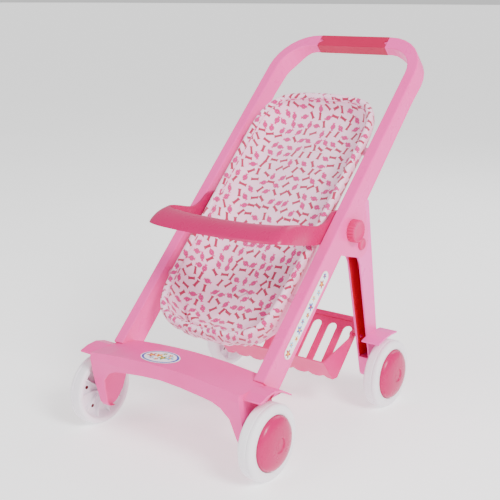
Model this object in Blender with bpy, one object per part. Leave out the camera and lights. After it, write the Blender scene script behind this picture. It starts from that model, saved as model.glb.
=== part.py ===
"""A folding doll stroller: hooped push frame, swing-in rear legs, seat, tray and basket.

The frame is Z up, X runs to the right-hand side and the stroller faces -Y.
Two slanted directions follow the push frame: "up" runs along the front face of
its legs from the foot, and "out" leaves that face square to it.
"""

from math import cos
from math import pi
from math import radians
from math import sin
from math import sqrt

import bmesh
import bpy
from mathutils import Matrix
from mathutils import Vector

MM = 0.001
FIT = 0.3 * MM                      # clearance between pieces that touch
RUN = 0.4 * MM                      # running clearance of a turning piece

# Push frame
FRAME_HALF_WIDTH = 130.2 * MM
LEG_WIDTH = 16.4 * MM
FRAME_LENGTH = 584.0 * MM
FRAME_ANGLE = radians(44.75)
FOOT_Y = -185.3 * MM
FOOT_Z = 119.7 * MM
LEG_DEPTH_FOOT = 39.5 * MM
LEG_DEPTH_TOP = 27.0 * MM
HANDLE_BAR = 22.0 * MM
HANDLE_DEPTH = 17.0 * MM
HANDLE_CORE_INSET = 2.4 * MM         # how far the bar steps in under the grip
CORNER_DEPTH = 31.0 * MM
CORNER_STEPS = 8
CORNER_OUTER = 67.0 * MM
CORNER_INNER = 46.0 * MM
FRAME_WALL = 2.5 * MM
EDGE_ROUND = 1.4 * MM
TENON_LENGTH = 14.0 * MM
TENON_WIDTH = 8.0 * MM
TENON_FRONT = -7.0 * MM
TENON_BACK = -27.0 * MM

# Grip sleeve
GRIP_HALF_LENGTH = 60.5 * MM
GRIP_FLUSH = 0.2 * MM               # the sleeve sits this far below the bar
GRIP_NOTCH = 7.0 * MM

# Knobs and rear leg pivots, placed along the frame as (up, out)
KNOB_UP = 257.0 * MM
KNOB_OUT = -31.5 * MM
KNOB_RADIUS = 16.0 * MM
KNOB_HEIGHT = 11.0 * MM
KNOB_FLUTES = 20
FLUTE_DEPTH = 0.9 * MM
STUD_RADIUS = 3.8 * MM
BOSS_RADIUS = 13.0 * MM
NUT_RADIUS = 6.6 * MM
NUT_HEIGHT = 4.6 * MM
PIVOT_UP = 258.0 * MM
PIVOT_OUT = -66.0 * MM
PIN_RADIUS = 4.0 * MM
PIN_HEAD_RADIUS = 8.5 * MM
PIN_HEAD_HEIGHT = 3.2 * MM
GUSSET_RADIUS = 20.0 * MM

# Wheels
WHEEL_RADIUS = 50.0 * MM
WHEEL_GAP = 5.5 * MM                 # the wheels stand this far outside the frame
WHEEL_INNER_X = FRAME_HALF_WIDTH + WHEEL_GAP
WHEEL_WIDTH = 21.7 * MM
FRONT_AXLE_Y = -198.6 * MM
REAR_AXLE_Y = 100.6 * MM
AXLE_RADIUS = 4.0 * MM
AXLE_HEAD_RADIUS = 7.0 * MM
AXLE_HEAD_HEIGHT = 2.4 * MM
AXLE_BOSS_RADIUS = 8.0 * MM
AXLE_SINK = 8.3 * MM                # depth of the blind hole that an axle is pressed into
HUB_RADIUS = 9.0 * MM
HUB_INSET = 0.5 * MM
CAP_RADIUS = 36.2 * MM
CAP_HEIGHT = 15.7 * MM
CAP_WALL = 2.0 * MM
CAP_DISC_RADIUS = 9.7 * MM
WHEEL_SIDES = 24
WEB_SHARE = 0.55                    # where the wheel's web stands, as a share of its width

# Front crossbar
BAR_INSET = 2.2 * MM                 # the crossbar stops this far inside the frame's face
BAR_HALF_WIDTH = FRAME_HALF_WIDTH - BAR_INSET
BAR_WALL = 2.5 * MM
BAR_FRONT_Y = -233.0 * MM
BAR_BACK_Y = -163.6 * MM
BAR_TOP_CENTRE = 126.0 * MM
BAR_TOP_END = 117.0 * MM
CHEEK_BOTTOM = 30.0 * MM
FENDER_COVER = 19.3 * MM             # how far a fender reaches over its wheel
FENDER_X = WHEEL_INNER_X + FENDER_COVER
FENDER_WALL = 2.4 * MM
SOCKET_WALL = 2.2 * MM
SCREW_RADIUS = 1.9 * MM
SCREW_HEAD_RADIUS = 4.2 * MM
SCREW_HEAD_HEIGHT = 2.2 * MM

# Rear legs
REAR_INSET = 2.8 * MM                # a rear leg stands this far inside the frame's face
REAR_OUTER_X = FRAME_HALF_WIDTH - REAR_INSET
REAR_WIDTH_TOP = 21.9 * MM
REAR_WIDTH_FOOT = 19.9 * MM
REAR_INNER_TOP_X = REAR_OUTER_X - REAR_WIDTH_TOP
REAR_INNER_FOOT_X = REAR_OUTER_X - REAR_WIDTH_FOOT
REAR_WALL = 2.4 * MM
REAR_FOOT_RADIUS = 11.5 * MM
CHANNEL_FOOT = 72.0 * MM
CHANNEL_RIBS = 3
RIB_WIDTH = 1.8 * MM
RIB_RISE = 7.0 * MM

# Seat
SEAT_HALF_WIDTH = 100.0 * MM
SEAT_TOP_UP = 466.0 * MM
SEAT_FOOT_UP = 46.0 * MM
SEAT_RIM_OUT = -3.0 * MM
SEAT_WALL = 2.5 * MM
SEAT_DEPTH_BACK = 36.0 * MM
SEAT_DEPTH_PAN = 56.0 * MM
SEAT_SIDES = 44
COVER_WALL = 4.5 * MM
COVER_LIP = 4.0 * MM
PEG_UPS = (130.0 * MM, 380.0 * MM)
PEG_OUT = -17.0 * MM
PEG_RADIUS = 3.0 * MM
PEG_BOSS_RADIUS = 6.0 * MM

# Tray
TRAY_ARM_GAP = 6.2 * MM              # from the frame's inner face to the tray arm's inner face
TRAY_INNER_X = FRAME_HALF_WIDTH - LEG_WIDTH - TRAY_ARM_GAP
TRAY_WALL = 2.5 * MM
TRAY_RING_RADIUS = 14.0 * MM
TRAY_RING_PROUD = 0.4 * MM
TRAY_SIDE_WALL = 16.0 * MM
TRAY_SMOOTHING = 3

# Basket
BASKET_SIDE_GAP = 8.5 * MM           # between a rear leg and the basket's end panel
BASKET_HALF_WIDTH = REAR_INNER_TOP_X - BASKET_SIDE_GAP
BASKET_WALL = 2.4 * MM
BASKET_TOP = (112.0 * MM, 119.0 * MM)
BASKET_VALLEY = (38.0 * MM, 41.0 * MM)
BASKET_LIP = (5.0 * MM, 82.0 * MM)
BASKET_APEX_Z = 102.0 * MM           # where the end panels meet the back wall
BASKET_UPPER_WALL = 2.0 * MM
BASKET_PIVOT = (86.6 * MM, 103.3 * MM)
BASKET_EAR_RADIUS = 6.4 * MM
BASKET_EAR_PROUD = 0.7 * MM
BASKET_PIN_RADIUS = 2.5 * MM
SLOT_PITCH = 27.0 * MM
SLOT_WIDTH = 15.5 * MM
SLOT_COUNT = 7
SLOT_END_GAP = 15.0 * MM
SCALLOP_RISE = 7.0 * MM

# Stickers
BADGE_LENGTH = 66.0 * MM
BADGE_DEPTH = 44.0 * MM
BADGE_CENTRE = (-20.0 * MM, -203.0 * MM)
BADGE_STRIPS = 14
BADGE_TIP_ANGLE = 0.16
STICKER_THICKNESS = 0.6 * MM
DECAL_START = 46.0 * MM
DECAL_END = 181.0 * MM
DECAL_WIDTH = 14.0 * MM
DECAL_OUT = -20.0 * MM

# Places worked out from the sizes above
TWIST_LIMIT = radians(0.02)         # a face bent by more than this is split flat
UP = Vector((0.0, cos(FRAME_ANGLE), sin(FRAME_ANGLE)))
OUT = Vector((0.0, -sin(FRAME_ANGLE), cos(FRAME_ANGLE)))
FRAME_INNER_X = FRAME_HALF_WIDTH - LEG_WIDTH
TRAY_OUTER_X = FRAME_INNER_X - 0.5 * MM - TRAY_RING_PROUD
AXLE_BOSS_X = WHEEL_INNER_X - HUB_INSET - 0.6 * MM
SIDES = (("left", -1), ("right", 1))


# ---------------------------------------------------------------- helpers

def clear_scene():
    """Remove every object, mesh and material that the file opened with."""
    for obj in list(bpy.data.objects):
        bpy.data.objects.remove(obj, do_unlink=True)
    for mesh in list(bpy.data.meshes):
        bpy.data.meshes.remove(mesh)
    for material in list(bpy.data.materials):
        bpy.data.materials.remove(material)


def on_frame(x, up, out):
    """Point at x, `up` along the frame's front face and `out` from it."""
    return Vector((x, FOOT_Y, FOOT_Z)) + up * UP + out * OUT


def side_point(up, out):
    """The (y, z) of a place given along the frame."""
    point = on_frame(0.0, up, out)
    return (point.y, point.z)


def leg_depth(up):
    """Depth of the frame's section behind its front face."""
    return LEG_DEPTH_FOOT + (LEG_DEPTH_TOP - LEG_DEPTH_FOOT) * up / FRAME_LENGTH


def lerp(low, high, share):
    """Value at `share` of the way from low to high."""
    return low + (high - low) * share


def plain_material(name, colour, roughness, metallic=0.0):
    """A Principled material of one colour."""
    material = bpy.data.materials.new(name)
    material.use_nodes = True
    shader = material.node_tree.nodes["Principled BSDF"]
    shader.inputs["Base Color"].default_value = (*colour, 1.0)
    shader.inputs["Roughness"].default_value = roughness
    shader.inputs["Metallic"].default_value = metallic
    return material


def add_object(name, bm, material, smooth_angle=radians(35.0)):
    """Turn a bmesh into a linked object with its faces pointing out."""
    bmesh.ops.recalc_face_normals(bm, faces=bm.faces)
    mesh = bpy.data.meshes.new(name)
    bm.to_mesh(mesh)
    bm.free()
    obj = bpy.data.objects.new(name, mesh)
    bpy.context.scene.collection.objects.link(obj)
    if material is not None:
        mesh.materials.append(material)
    mesh.shade_smooth()
    mesh.set_sharp_from_angle(angle=smooth_angle)
    return obj


def loft(name, rings, material, closed=False, cap=True):
    """A skin over rings of points, capped at its ends or closed on itself."""
    bm = bmesh.new()
    loops = [[bm.verts.new(point) for point in ring] for ring in rings]
    count = len(loops[0])
    pairs = list(zip(loops, loops[1:]))
    if closed:
        pairs.append((loops[-1], loops[0]))
    for first, second in pairs:
        for i in range(count):
            j = (i + 1) % count
            bm.faces.new((first[i], first[j], second[j], second[i]))
    if cap and not closed:
        bm.faces.new(loops[0])
        bm.faces.new(list(reversed(loops[-1])))
    bmesh.ops.connect_verts_nonplanar(bm, angle_limit=TWIST_LIMIT, faces=bm.faces)
    return add_object(name, bm, material)


def prism(name, outline, x0, x1, material=None):
    """A side-view (y, z) outline stretched from x0 to x1."""
    rings = [[(x, y, z) for y, z in outline] for x in (x0, x1)]
    return loft(name, rings, material)


def rod(name, centre, x0, x1, radius, material=None, sides=20):
    """A round bar along X about a (y, z) centre."""
    outline = circle(centre, radius, sides)
    return prism(name, outline, x0, x1, material)


def circle(centre, radius, sides):
    """Points of a circle in side view."""
    return arc(centre, radius, 0.0, 2.0 * pi * (sides - 1) / sides, sides)


def arc(centre, radius, start, end, count):
    """`count` points of an arc in side view, both ends included."""
    points = []
    for i in range(count):
        angle = lerp(start, end, i / (count - 1))
        points.append((centre[0] + radius * cos(angle), centre[1] + radius * sin(angle)))
    return points


def lathe(name, profile, centre, x0, direction, sides, material):
    """A closed (radius, offset) profile turned about the X axis through `centre`.

    Offsets run from x0 in the `direction` of +X or -X. A profile that starts and
    ends at radius 0 is closed at the axis.
    """
    bm = bmesh.new()
    rings = []
    for radius, offset in profile:
        x = x0 + direction * offset
        if radius == 0.0:
            rings.append([bm.verts.new((x, centre[0], centre[1]))] * sides)
        else:
            ring = circle(centre, radius, sides)
            rings.append([bm.verts.new((x, y, z)) for y, z in ring])
    solid_end = profile[0][0] == 0.0
    pairs = list(zip(rings, rings[1:]))
    if not solid_end:
        pairs.append((rings[-1], rings[0]))
    for first, second in pairs:
        for i in range(sides):
            j = (i + 1) % sides
            corners = []
            for vert in (first[i], first[j], second[j], second[i]):
                if vert not in corners:
                    corners.append(vert)
            bm.faces.new(corners)
    return add_object(name, bm, material)


def hide_tool(tool):
    """Mark an object as a modelling tool, which isn't part of the model."""
    tool.hide_render = True
    tool.display_type = "WIRE"


def combine(target, tool, operation):
    """Cut, join or intersect the target with a tool object."""
    hide_tool(tool)
    modifier = target.modifiers.new(tool.name, "BOOLEAN")
    modifier.operation = operation
    modifier.solver = "EXACT"
    modifier.object = tool


def cut(target, tool):
    """Take the tool's volume out of the target."""
    combine(target, tool, "DIFFERENCE")


def join(target, tool):
    """Add the tool's volume to the target."""
    combine(target, tool, "UNION")


def round_edges(obj, width, segments=2, angle=radians(40.0)):
    """Round the edges that are sharper than the angle."""
    bevel = obj.modifiers.new("round", "BEVEL")
    bevel.width = width
    bevel.segments = segments
    bevel.limit_method = "ANGLE"
    bevel.angle_limit = angle


def set_origin(obj, point):
    """Move the object's origin to a point without moving its shape."""
    obj.data.transform(Matrix.Translation(-Vector(point)))
    obj.location = point


def span(side, inner, outer):
    """An X range on one side, in rising order."""
    return tuple(sorted((side * inner, side * outer)))


def smooth_path(points, steps):
    """Catmull-Rom points through a list of vectors."""
    padded = [2.0 * points[0] - points[1]] + points + [2.0 * points[-1] - points[-2]]
    path = []
    for i in range(1, len(padded) - 2):
        before, start, end, after = padded[i - 1:i + 3]
        for step in range(steps):
            t = step / steps
            path.append(0.5 * (2.0 * start + (end - before) * t
                               + (2.0 * before - 5.0 * start + 4.0 * end - after) * t * t
                               + (3.0 * start - before - 3.0 * end + after) * t ** 3))
    path.append(points[-1])
    return path


KNOB_AXIS = side_point(KNOB_UP, KNOB_OUT)
PIVOT_AXIS = side_point(PIVOT_UP, PIVOT_OUT)
FRONT_AXLE = (FRONT_AXLE_Y, WHEEL_RADIUS)
REAR_AXLE = (REAR_AXLE_Y, WHEEL_RADIUS)


# ---------------------------------------------------------------- materials

def make_materials():
    """All the materials, by name."""
    return {
        "frame": plain_material("frame_pink", (0.93, 0.38, 0.60), 0.32),
        "crossbar": plain_material("crossbar_pink", (0.93, 0.38, 0.60), 0.34),
        "rear": plain_material("rear_leg_pink", (0.93, 0.40, 0.62), 0.32),
        "magenta": plain_material("magenta", (0.85, 0.02, 0.18), 0.30),
        "knob": plain_material("knob_pink", (0.80, 0.10, 0.32), 0.35),
        "grip": plain_material("grip_magenta", (0.85, 0.02, 0.15), 0.45),
        "wheel": plain_material("wheel_white", (0.85, 0.85, 0.86), 0.45),
        "steel": plain_material("axle_steel", (0.60, 0.60, 0.62), 0.30, 1.0),
        "seat": plain_material("seat_shell_pale", (0.93, 0.62, 0.74), 0.40),
        "fabric": plain_material("seat_fabric", (0.95, 0.66, 0.76), 0.85),
        "sticker": plain_material("sticker_white", (0.92, 0.88, 0.80), 0.35),
    }


# ---------------------------------------------------------------- push frame

def hoop_stations():
    """Right half of the hoop as (outer place, inner place, depth), foot to middle.

    A place is (x, up). The corner's two arcs are stepped together, and the depth
    runs down to the handle's own depth at the end of the corner.
    """
    outer_centre = (FRAME_HALF_WIDTH - CORNER_OUTER, FRAME_LENGTH - CORNER_OUTER)
    inner_centre = (FRAME_INNER_X - CORNER_INNER, FRAME_LENGTH - HANDLE_BAR - CORNER_INNER)
    outer = arc(outer_centre, CORNER_OUTER, 0.0, pi / 2, CORNER_STEPS + 1)
    inner = arc(inner_centre, CORNER_INNER, 0.0, pi / 2, CORNER_STEPS + 1)
    stations = [((FRAME_HALF_WIDTH, 0.0), (FRAME_INNER_X, 0.0), LEG_DEPTH_FOOT)]
    straight_end = outer_centre[1] - CORNER_OUTER / 2.0
    straight_depth = leg_depth(straight_end)
    stations.append(((FRAME_HALF_WIDTH, straight_end), (FRAME_INNER_X, straight_end), straight_depth))
    for i in range(CORNER_STEPS + 1):
        share = i / CORNER_STEPS
        turn = max(0.0, share - 0.35) / 0.65
        depth = lerp(CORNER_DEPTH, HANDLE_DEPTH, turn * turn * (3.0 - 2.0 * turn))
        stations.append((outer[i], inner[i], depth))
    return stations


def make_hoop_body(material):
    """The two legs and the handle bar as one hooped beam."""
    rings = []
    for (outer_x, outer_up), (inner_x, inner_up), depth in hoop_stations():
        rings.append([on_frame(outer_x, outer_up, 0.0), on_frame(outer_x, outer_up, -depth),
                      on_frame(inner_x, inner_up, -depth), on_frame(inner_x, inner_up, 0.0)])
    mirrored = [[Vector((-p.x, p.y, p.z)) for p in ring] for ring in reversed(rings)]
    hoop = loft("frame_hoop", rings + mirrored, material)
    round_edges(hoop, EDGE_ROUND)
    return hoop


def handle_section(x, shrink):
    """Four corners of the handle bar's section at x, moved in by `shrink`."""
    high = FRAME_LENGTH - shrink
    low = FRAME_LENGTH - HANDLE_BAR + shrink
    return [on_frame(x, high, -shrink), on_frame(x, high, shrink - HANDLE_DEPTH),
            on_frame(x, low, shrink - HANDLE_DEPTH), on_frame(x, low, -shrink)]


def sleeve(name, half_length, inner_shrink, outer_shrink, material=None):
    """A square tube round the handle bar, between two shrunken sections of it."""
    rings = []
    ends = (-half_length, half_length)
    for corner in range(4):
        inner = [handle_section(x, inner_shrink)[corner] for x in ends]
        outer = [handle_section(x, outer_shrink)[corner] for x in ends]
        rings.append([inner[0], inner[1], outer[1], outer[0]])
    return loft(name, rings, material, closed=True)


def gusset_outline():
    """Side view of the outer plate that carries a rear leg's pivot."""
    start = radians(-30.0)
    end = radians(-140.0)
    lobe = arc((PIVOT_UP, PIVOT_OUT), GUSSET_RADIUS, start, end, 7)
    notch_up = PIVOT_UP + 45.0 * MM
    foot_up = PIVOT_UP - 39.0 * MM
    sunk = 3.0 * MM
    places = [(notch_up, sunk - leg_depth(notch_up)),
              (PIVOT_UP + 26.0 * MM, PIVOT_OUT + 2.0 * MM)]
    places += lobe
    places += [(foot_up, -leg_depth(foot_up) - 4.0 * MM), (foot_up - sunk, sunk - leg_depth(foot_up))]
    return [side_point(up, out) for up, out in places]


def leg_channel(side, up0, up1):
    """Cutter that hollows a leg from behind between two places."""
    x0, x1 = span(side, FRAME_INNER_X + FRAME_WALL, FRAME_HALF_WIDTH - FRAME_WALL)
    outline = []
    for up, depth in ((up0, FRAME_WALL), (up1, FRAME_WALL)):
        outline.append(side_point(up, -depth))
    for up in (up1, up0):
        outline.append(side_point(up, -leg_depth(up) - 5.0 * MM))
    return prism("channel", outline, x0, x1)


def tenon_outline(grow):
    """Side view of the foot's tenon, grown by a clearance."""
    places = ((-TENON_LENGTH - grow, TENON_FRONT + grow), (2.0 * MM + grow, TENON_FRONT + grow),
              (2.0 * MM + grow, TENON_BACK - grow), (-TENON_LENGTH - grow, TENON_BACK - grow))
    return [side_point(up, out) for up, out in places]


def tenon_span(side, grow):
    """X range of the foot's tenon, grown by a clearance."""
    middle = FRAME_HALF_WIDTH - LEG_WIDTH / 2.0
    half = TENON_WIDTH / 2.0 + grow
    return span(side, middle - half, middle + half)


def tray_rest(side):
    """The stop on a leg's inner face that the tray's arm rests on."""
    x0, x1 = span(side, TRAY_INNER_X, FRAME_INNER_X + 1.0 * MM)
    y = KNOB_AXIS[0]
    top = arm_bottom() - 0.1 * MM
    outline = [(y - 48.0 * MM, top - 9.0 * MM), (y - 34.0 * MM, top - 9.0 * MM),
               (y - 34.0 * MM, top), (y - 48.0 * MM, top)]
    return prism("tray_rest", outline, x0, x1)


def arm_bottom():
    """Height of the tray arm's underside where it lies on its rest."""
    return KNOB_AXIS[1] - TRAY_RING_RADIUS + 1.0 * MM


def crossbar_screw_axis():
    """Side view of the screw that holds a tenon in its socket."""
    return side_point(-TENON_LENGTH / 2.0, (TENON_FRONT + TENON_BACK) / 2.0)


def make_frame(material):
    """The push frame with its gussets, knob bosses, channels and holes."""
    frame = make_hoop_body(material)
    cut(frame, sleeve("grip_seat", GRIP_HALF_LENGTH + FIT, HANDLE_CORE_INSET, -5.0 * MM))
    for _, side in SIDES:
        plate_x = span(side, FRAME_HALF_WIDTH - FRAME_WALL + 0.1 * MM, FRAME_HALF_WIDTH - 0.15 * MM)
        boss_x = span(side, FRAME_INNER_X + 0.2 * MM, FRAME_HALF_WIDTH - 0.25 * MM)
        cut(frame, leg_channel(side, 22.0 * MM, KNOB_UP - 34.0 * MM))
        cut(frame, leg_channel(side, KNOB_UP + 34.0 * MM, FRAME_LENGTH - CORNER_OUTER - 40.0 * MM))
        join(frame, prism("gusset", gusset_outline(), *plate_x))
        join(frame, rod("boss", KNOB_AXIS, *boss_x, BOSS_RADIUS))
        join(frame, prism("tenon", tenon_outline(0.0), *tenon_span(side, 0.0)))
        join(frame, tray_rest(side))
        wide = span(side, FRAME_INNER_X - 5.0 * MM, FRAME_HALF_WIDTH + 5.0 * MM)
        cut(frame, rod("stud_hole", KNOB_AXIS, *wide, STUD_RADIUS + RUN, sides=16))
        cut(frame, rod("pivot_hole", PIVOT_AXIS, *wide, PIN_RADIUS + RUN, sides=16))
        screw_x = span(side, FRAME_INNER_X - 5.0 * MM, FRAME_HALF_WIDTH - FRAME_WALL - 1.0 * MM)
        cut(frame, rod("screw_hole", crossbar_screw_axis(), *screw_x, SCREW_RADIUS + FIT, sides=10))
        peg_x = span(side, FRAME_INNER_X - 2.0 * MM, FRAME_INNER_X + FRAME_WALL + 2.0 * MM)
        for up in PEG_UPS:
            cut(frame, rod("peg_hole", side_point(up, PEG_OUT), *peg_x, PEG_RADIUS + FIT, sides=12))
    return frame


def make_grip(material):
    """The sleeve round the middle of the handle, with a notch in each end."""
    inner = HANDLE_CORE_INSET - FIT
    grip = sleeve("handle_grip", GRIP_HALF_LENGTH, inner, GRIP_FLUSH, material)
    middle_up = FRAME_LENGTH - HANDLE_BAR / 2.0
    notch_outs = (3.0 * MM, -HANDLE_DEPTH / 2.0)
    for _, side in SIDES:
        end = side * (GRIP_HALF_LENGTH + 1.0 * MM)
        tip = side * (GRIP_HALF_LENGTH - GRIP_NOTCH)
        rings = []
        for out in notch_outs:
            rings.append([on_frame(end, middle_up - 6.0 * MM, out), on_frame(tip, middle_up, out),
                          on_frame(end, middle_up + 6.0 * MM, out)])
        cut(grip, loft("grip_notch", rings, None))
    return grip


# ---------------------------------------------------------------- front crossbar

def cheek_profile():
    """Side view of the crossbar: deck on top, rounded cheek round the axle."""
    y, z = FRONT_AXLE
    top = BAR_TOP_CENTRE + 4.0 * MM
    foot = arc(FRONT_AXLE, z - CHEEK_BOTTOM, radians(-150.0), radians(-35.0), 6)
    front = [(BAR_FRONT_Y, top), (BAR_FRONT_Y, 108.0 * MM), (y - 30.5 * MM, z + 36.0 * MM),
             (y - 25.5 * MM, z + 16.0 * MM)]
    back = [(y + 24.5 * MM, z - 2.0 * MM), (y + 30.5 * MM, z + 12.0 * MM),
            (BAR_BACK_Y, 80.0 * MM), (BAR_BACK_Y, top)]
    return front + foot + back


def deck_line(shrink):
    """Front view of the crossbar's crowned top, from the left end to the right."""
    half = BAR_HALF_WIDTH - shrink
    points = []
    for i in range(9):
        share = -1.0 + 2.0 * i / 8.0
        crown = (BAR_TOP_CENTRE - BAR_TOP_END) * (1.0 - share * share)
        points.append((share * half, BAR_TOP_END + crown - shrink))
    return points


def arch_line():
    """Front view of the arch under the crossbar, from the middle to the right foot."""
    clear = BAR_HALF_WIDTH
    return [(0.0, 106.5 * MM), (33.0 * MM, 104.5 * MM), (67.0 * MM, 100.5 * MM),
            (83.0 * MM, 98.0 * MM), (97.0 * MM, 92.0 * MM), (clear - 19.5 * MM, 80.0 * MM),
            (clear - 16.5 * MM, 66.0 * MM), (clear - 14.5 * MM, 52.0 * MM),
            (clear - 11.0 * MM, 38.0 * MM), (clear - 7.0 * MM, CHEEK_BOTTOM - 2.0 * MM)]


def fender(name, side, y_low, y_high, tops, x0):
    """A thin curved roof over a wheel, given by (share of its run, height) places."""
    upper = [(lerp(y_low, y_high, share), z) for share, z in tops]
    lower = [(y, z - FENDER_WALL) for y, z in reversed(upper)]
    return prism(name, upper + lower, *span(side, x0, FENDER_X))


def make_crossbar(material):
    """The moulded bar across the front: deck, front wall, cheeks, fenders, sockets."""
    floor = CHEEK_BOTTOM - 5.0 * MM
    deck = deck_line(0.0)
    outline = [(-BAR_HALF_WIDTH, floor)] + deck + [(BAR_HALF_WIDTH, floor)]
    y0 = BAR_FRONT_Y - 5.0 * MM
    y1 = BAR_BACK_Y + 5.0 * MM
    bar = loft("front_crossbar", [[(x, y, z) for x, z in outline] for y in (y0, y1)], material)
    combine(bar, prism("cheek_profile", cheek_profile(), -0.2, 0.2), "INTERSECT")

    inside = [(-BAR_HALF_WIDTH + BAR_WALL, floor - 1.0 * MM)] + deck_line(BAR_WALL)
    inside.append((BAR_HALF_WIDTH - BAR_WALL, floor - 1.0 * MM))
    rings = []
    for y in (BAR_FRONT_Y + BAR_WALL, BAR_BACK_Y + 8.0 * MM):
        rings.append([(x, y, z) for x, z in inside])
    hollow = loft("hollow", rings, None)
    front_wall = [(y + BAR_WALL, z) for y, z in cheek_profile()[1:10]]
    front_wall += [(BAR_BACK_Y + 40.0 * MM, floor - 3.0 * MM), (BAR_BACK_Y + 40.0 * MM, 0.2)]
    front_wall.append((BAR_FRONT_Y + BAR_WALL, 0.2))
    combine(hollow, prism("hollow_profile", front_wall, -0.2, 0.2), "INTERSECT")
    cut(bar, hollow)

    arch = arch_line()
    opening = [(-x, z) for x, z in reversed(arch[1:])] + arch
    opening += [(arch[-1][0], floor - 3.0 * MM), (-arch[-1][0], floor - 3.0 * MM)]
    rings = [[(x, y, z) for x, z in opening] for y in (BAR_FRONT_Y - 8.0 * MM, BAR_FRONT_Y + 60.0 * MM)]
    cut(bar, loft("arch", rings, None))

    for _, side in SIDES:
        add_crossbar_side(bar, side)
    return bar


def add_crossbar_side(bar, side):
    """Fender, leg socket and axle boss of one end of the crossbar."""
    tops = ((0.0, 112.0 * MM), (0.2, 116.4 * MM), (0.45, 118.0 * MM), (0.7, 114.0 * MM),
            (1.0, 102.5 * MM))
    wall = BAR_HALF_WIDTH - 1.0 * MM
    join(bar, fender("front_fender", side, BAR_FRONT_Y + 8.0 * MM, BAR_BACK_Y + 5.0 * MM, tops, wall))
    inner, outer = tenon_span(1, SOCKET_WALL)
    block = [side_point(up, out) for up, out in (
        (-TENON_LENGTH - 0.5 * MM, TENON_FRONT + SOCKET_WALL), (-1.0 * MM, TENON_FRONT + SOCKET_WALL),
        (-1.0 * MM, TENON_BACK - SOCKET_WALL), (-TENON_LENGTH - 0.5 * MM, TENON_BACK - SOCKET_WALL))]
    join(bar, prism("socket", block, *span(side, inner, BAR_HALF_WIDTH - 1.0 * MM)))
    join(bar, rod("axle_boss", FRONT_AXLE, *span(side, wall, AXLE_BOSS_X), AXLE_BOSS_RADIUS, sides=16))
    cut(bar, prism("tenon_socket", tenon_outline(FIT), *tenon_span(side, FIT)))
    leg = [side_point(up, out) for up, out in (
        (-FIT, 8.0 * MM), (90.0 * MM, 8.0 * MM), (90.0 * MM, -70.0 * MM), (-FIT, -70.0 * MM))]
    cut(bar, prism("leg_clearance", leg, *span(side, FRAME_INNER_X - FIT, FRAME_HALF_WIDTH + FIT)))
    cut(bar, axle_hole(FRONT_AXLE, side))
    screw = span(side, inner - 3.0 * MM, outer - SOCKET_WALL + 1.0 * MM)
    cut(bar, rod("socket_screw_hole", crossbar_screw_axis(), *screw, SCREW_RADIUS + FIT, sides=10))


def axle_hole(axle, side):
    """Cutter for the blind hole that an axle is pressed into."""
    depth = span(side, AXLE_BOSS_X - AXLE_SINK, AXLE_BOSS_X + 5.0 * MM)
    return rod("axle_hole", axle, *depth, AXLE_RADIUS + FIT, sides=16)


def make_crossbar_screw(name, side, material):
    """The pan-head screw through a socket and its tenon."""
    inner, outer = tenon_span(1, SOCKET_WALL)
    length = outer - inner - SOCKET_WALL
    profile = [(0.0, 0.0), (SCREW_HEAD_RADIUS * 0.7, 0.0), (SCREW_HEAD_RADIUS, 0.8 * MM),
               (SCREW_HEAD_RADIUS, SCREW_HEAD_HEIGHT), (SCREW_RADIUS, SCREW_HEAD_HEIGHT),
               (SCREW_RADIUS, SCREW_HEAD_HEIGHT + length - 1.0 * MM), (0.0, SCREW_HEAD_HEIGHT + length)]
    start = side * (inner - FIT - SCREW_HEAD_HEIGHT)
    return lathe(name, profile, crossbar_screw_axis(), start, side, 12, material)


def make_badge(material):
    """The blank oval badge on the crossbar's deck, bent to the deck's crown."""
    x0, y0 = BADGE_CENTRE
    crown = BAR_TOP_CENTRE - BAR_TOP_END
    rings = []
    for i in range(BADGE_STRIPS + 1):
        angle = lerp(BADGE_TIP_ANGLE, pi - BADGE_TIP_ANGLE, i / BADGE_STRIPS)
        x = x0 - BADGE_LENGTH / 2.0 * cos(angle)
        half = BADGE_DEPTH / 2.0 * sin(angle)
        low = BAR_TOP_CENTRE - crown * (x / BAR_HALF_WIDTH) ** 2 + FIT
        high = low + STICKER_THICKNESS
        rings.append([(x, y0 - half, low), (x, y0 + half, low), (x, y0 + half, high), (x, y0 - half, high)])
    return loft("badge", rings, material)


def make_decal(name, side, material):
    """The round-ended strip sticker on a leg's outer face."""
    radius = DECAL_WIDTH / 2.0
    places = arc((DECAL_START + radius, DECAL_OUT), radius, pi / 2, 3 * pi / 2, 8)
    places += arc((DECAL_END - radius, DECAL_OUT), radius, -pi / 2, pi / 2, 8)
    outline = [side_point(up, out) for up, out in places]
    start = FRAME_HALF_WIDTH + FIT
    return prism(name, outline, *span(side, start, start + STICKER_THICKNESS), material)


# ---------------------------------------------------------------- wheels

def wheel_profile():
    """Closed (radius, offset from the inner face) section of a wheel."""
    bore = AXLE_RADIUS + RUN
    rim = CAP_RADIUS + 0.4 * MM
    outer = WHEEL_RADIUS
    step = WHEEL_WIDTH * 0.66
    web = WHEEL_WIDTH * WEB_SHARE
    return [(bore, -HUB_INSET), (HUB_RADIUS, -HUB_INSET), (HUB_RADIUS, web - 2.0 * MM),
            (outer - 12.0 * MM, web), (outer - 9.0 * MM, 2.0 * MM), (outer - 7.0 * MM, 0.0),
            (outer - 3.0 * MM, 0.0), (outer, 2.5 * MM), (outer, step), (outer - 0.9 * MM, step + 0.6 * MM),
            (outer, step + 1.4 * MM), (outer, WHEEL_WIDTH - 2.6 * MM), (outer - 2.4 * MM, WHEEL_WIDTH),
            (rim + 1.2 * MM, WHEEL_WIDTH), (rim, WHEEL_WIDTH - 1.2 * MM), (rim, web + 2.8 * MM),
            (bore, web + 2.2 * MM)]


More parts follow.
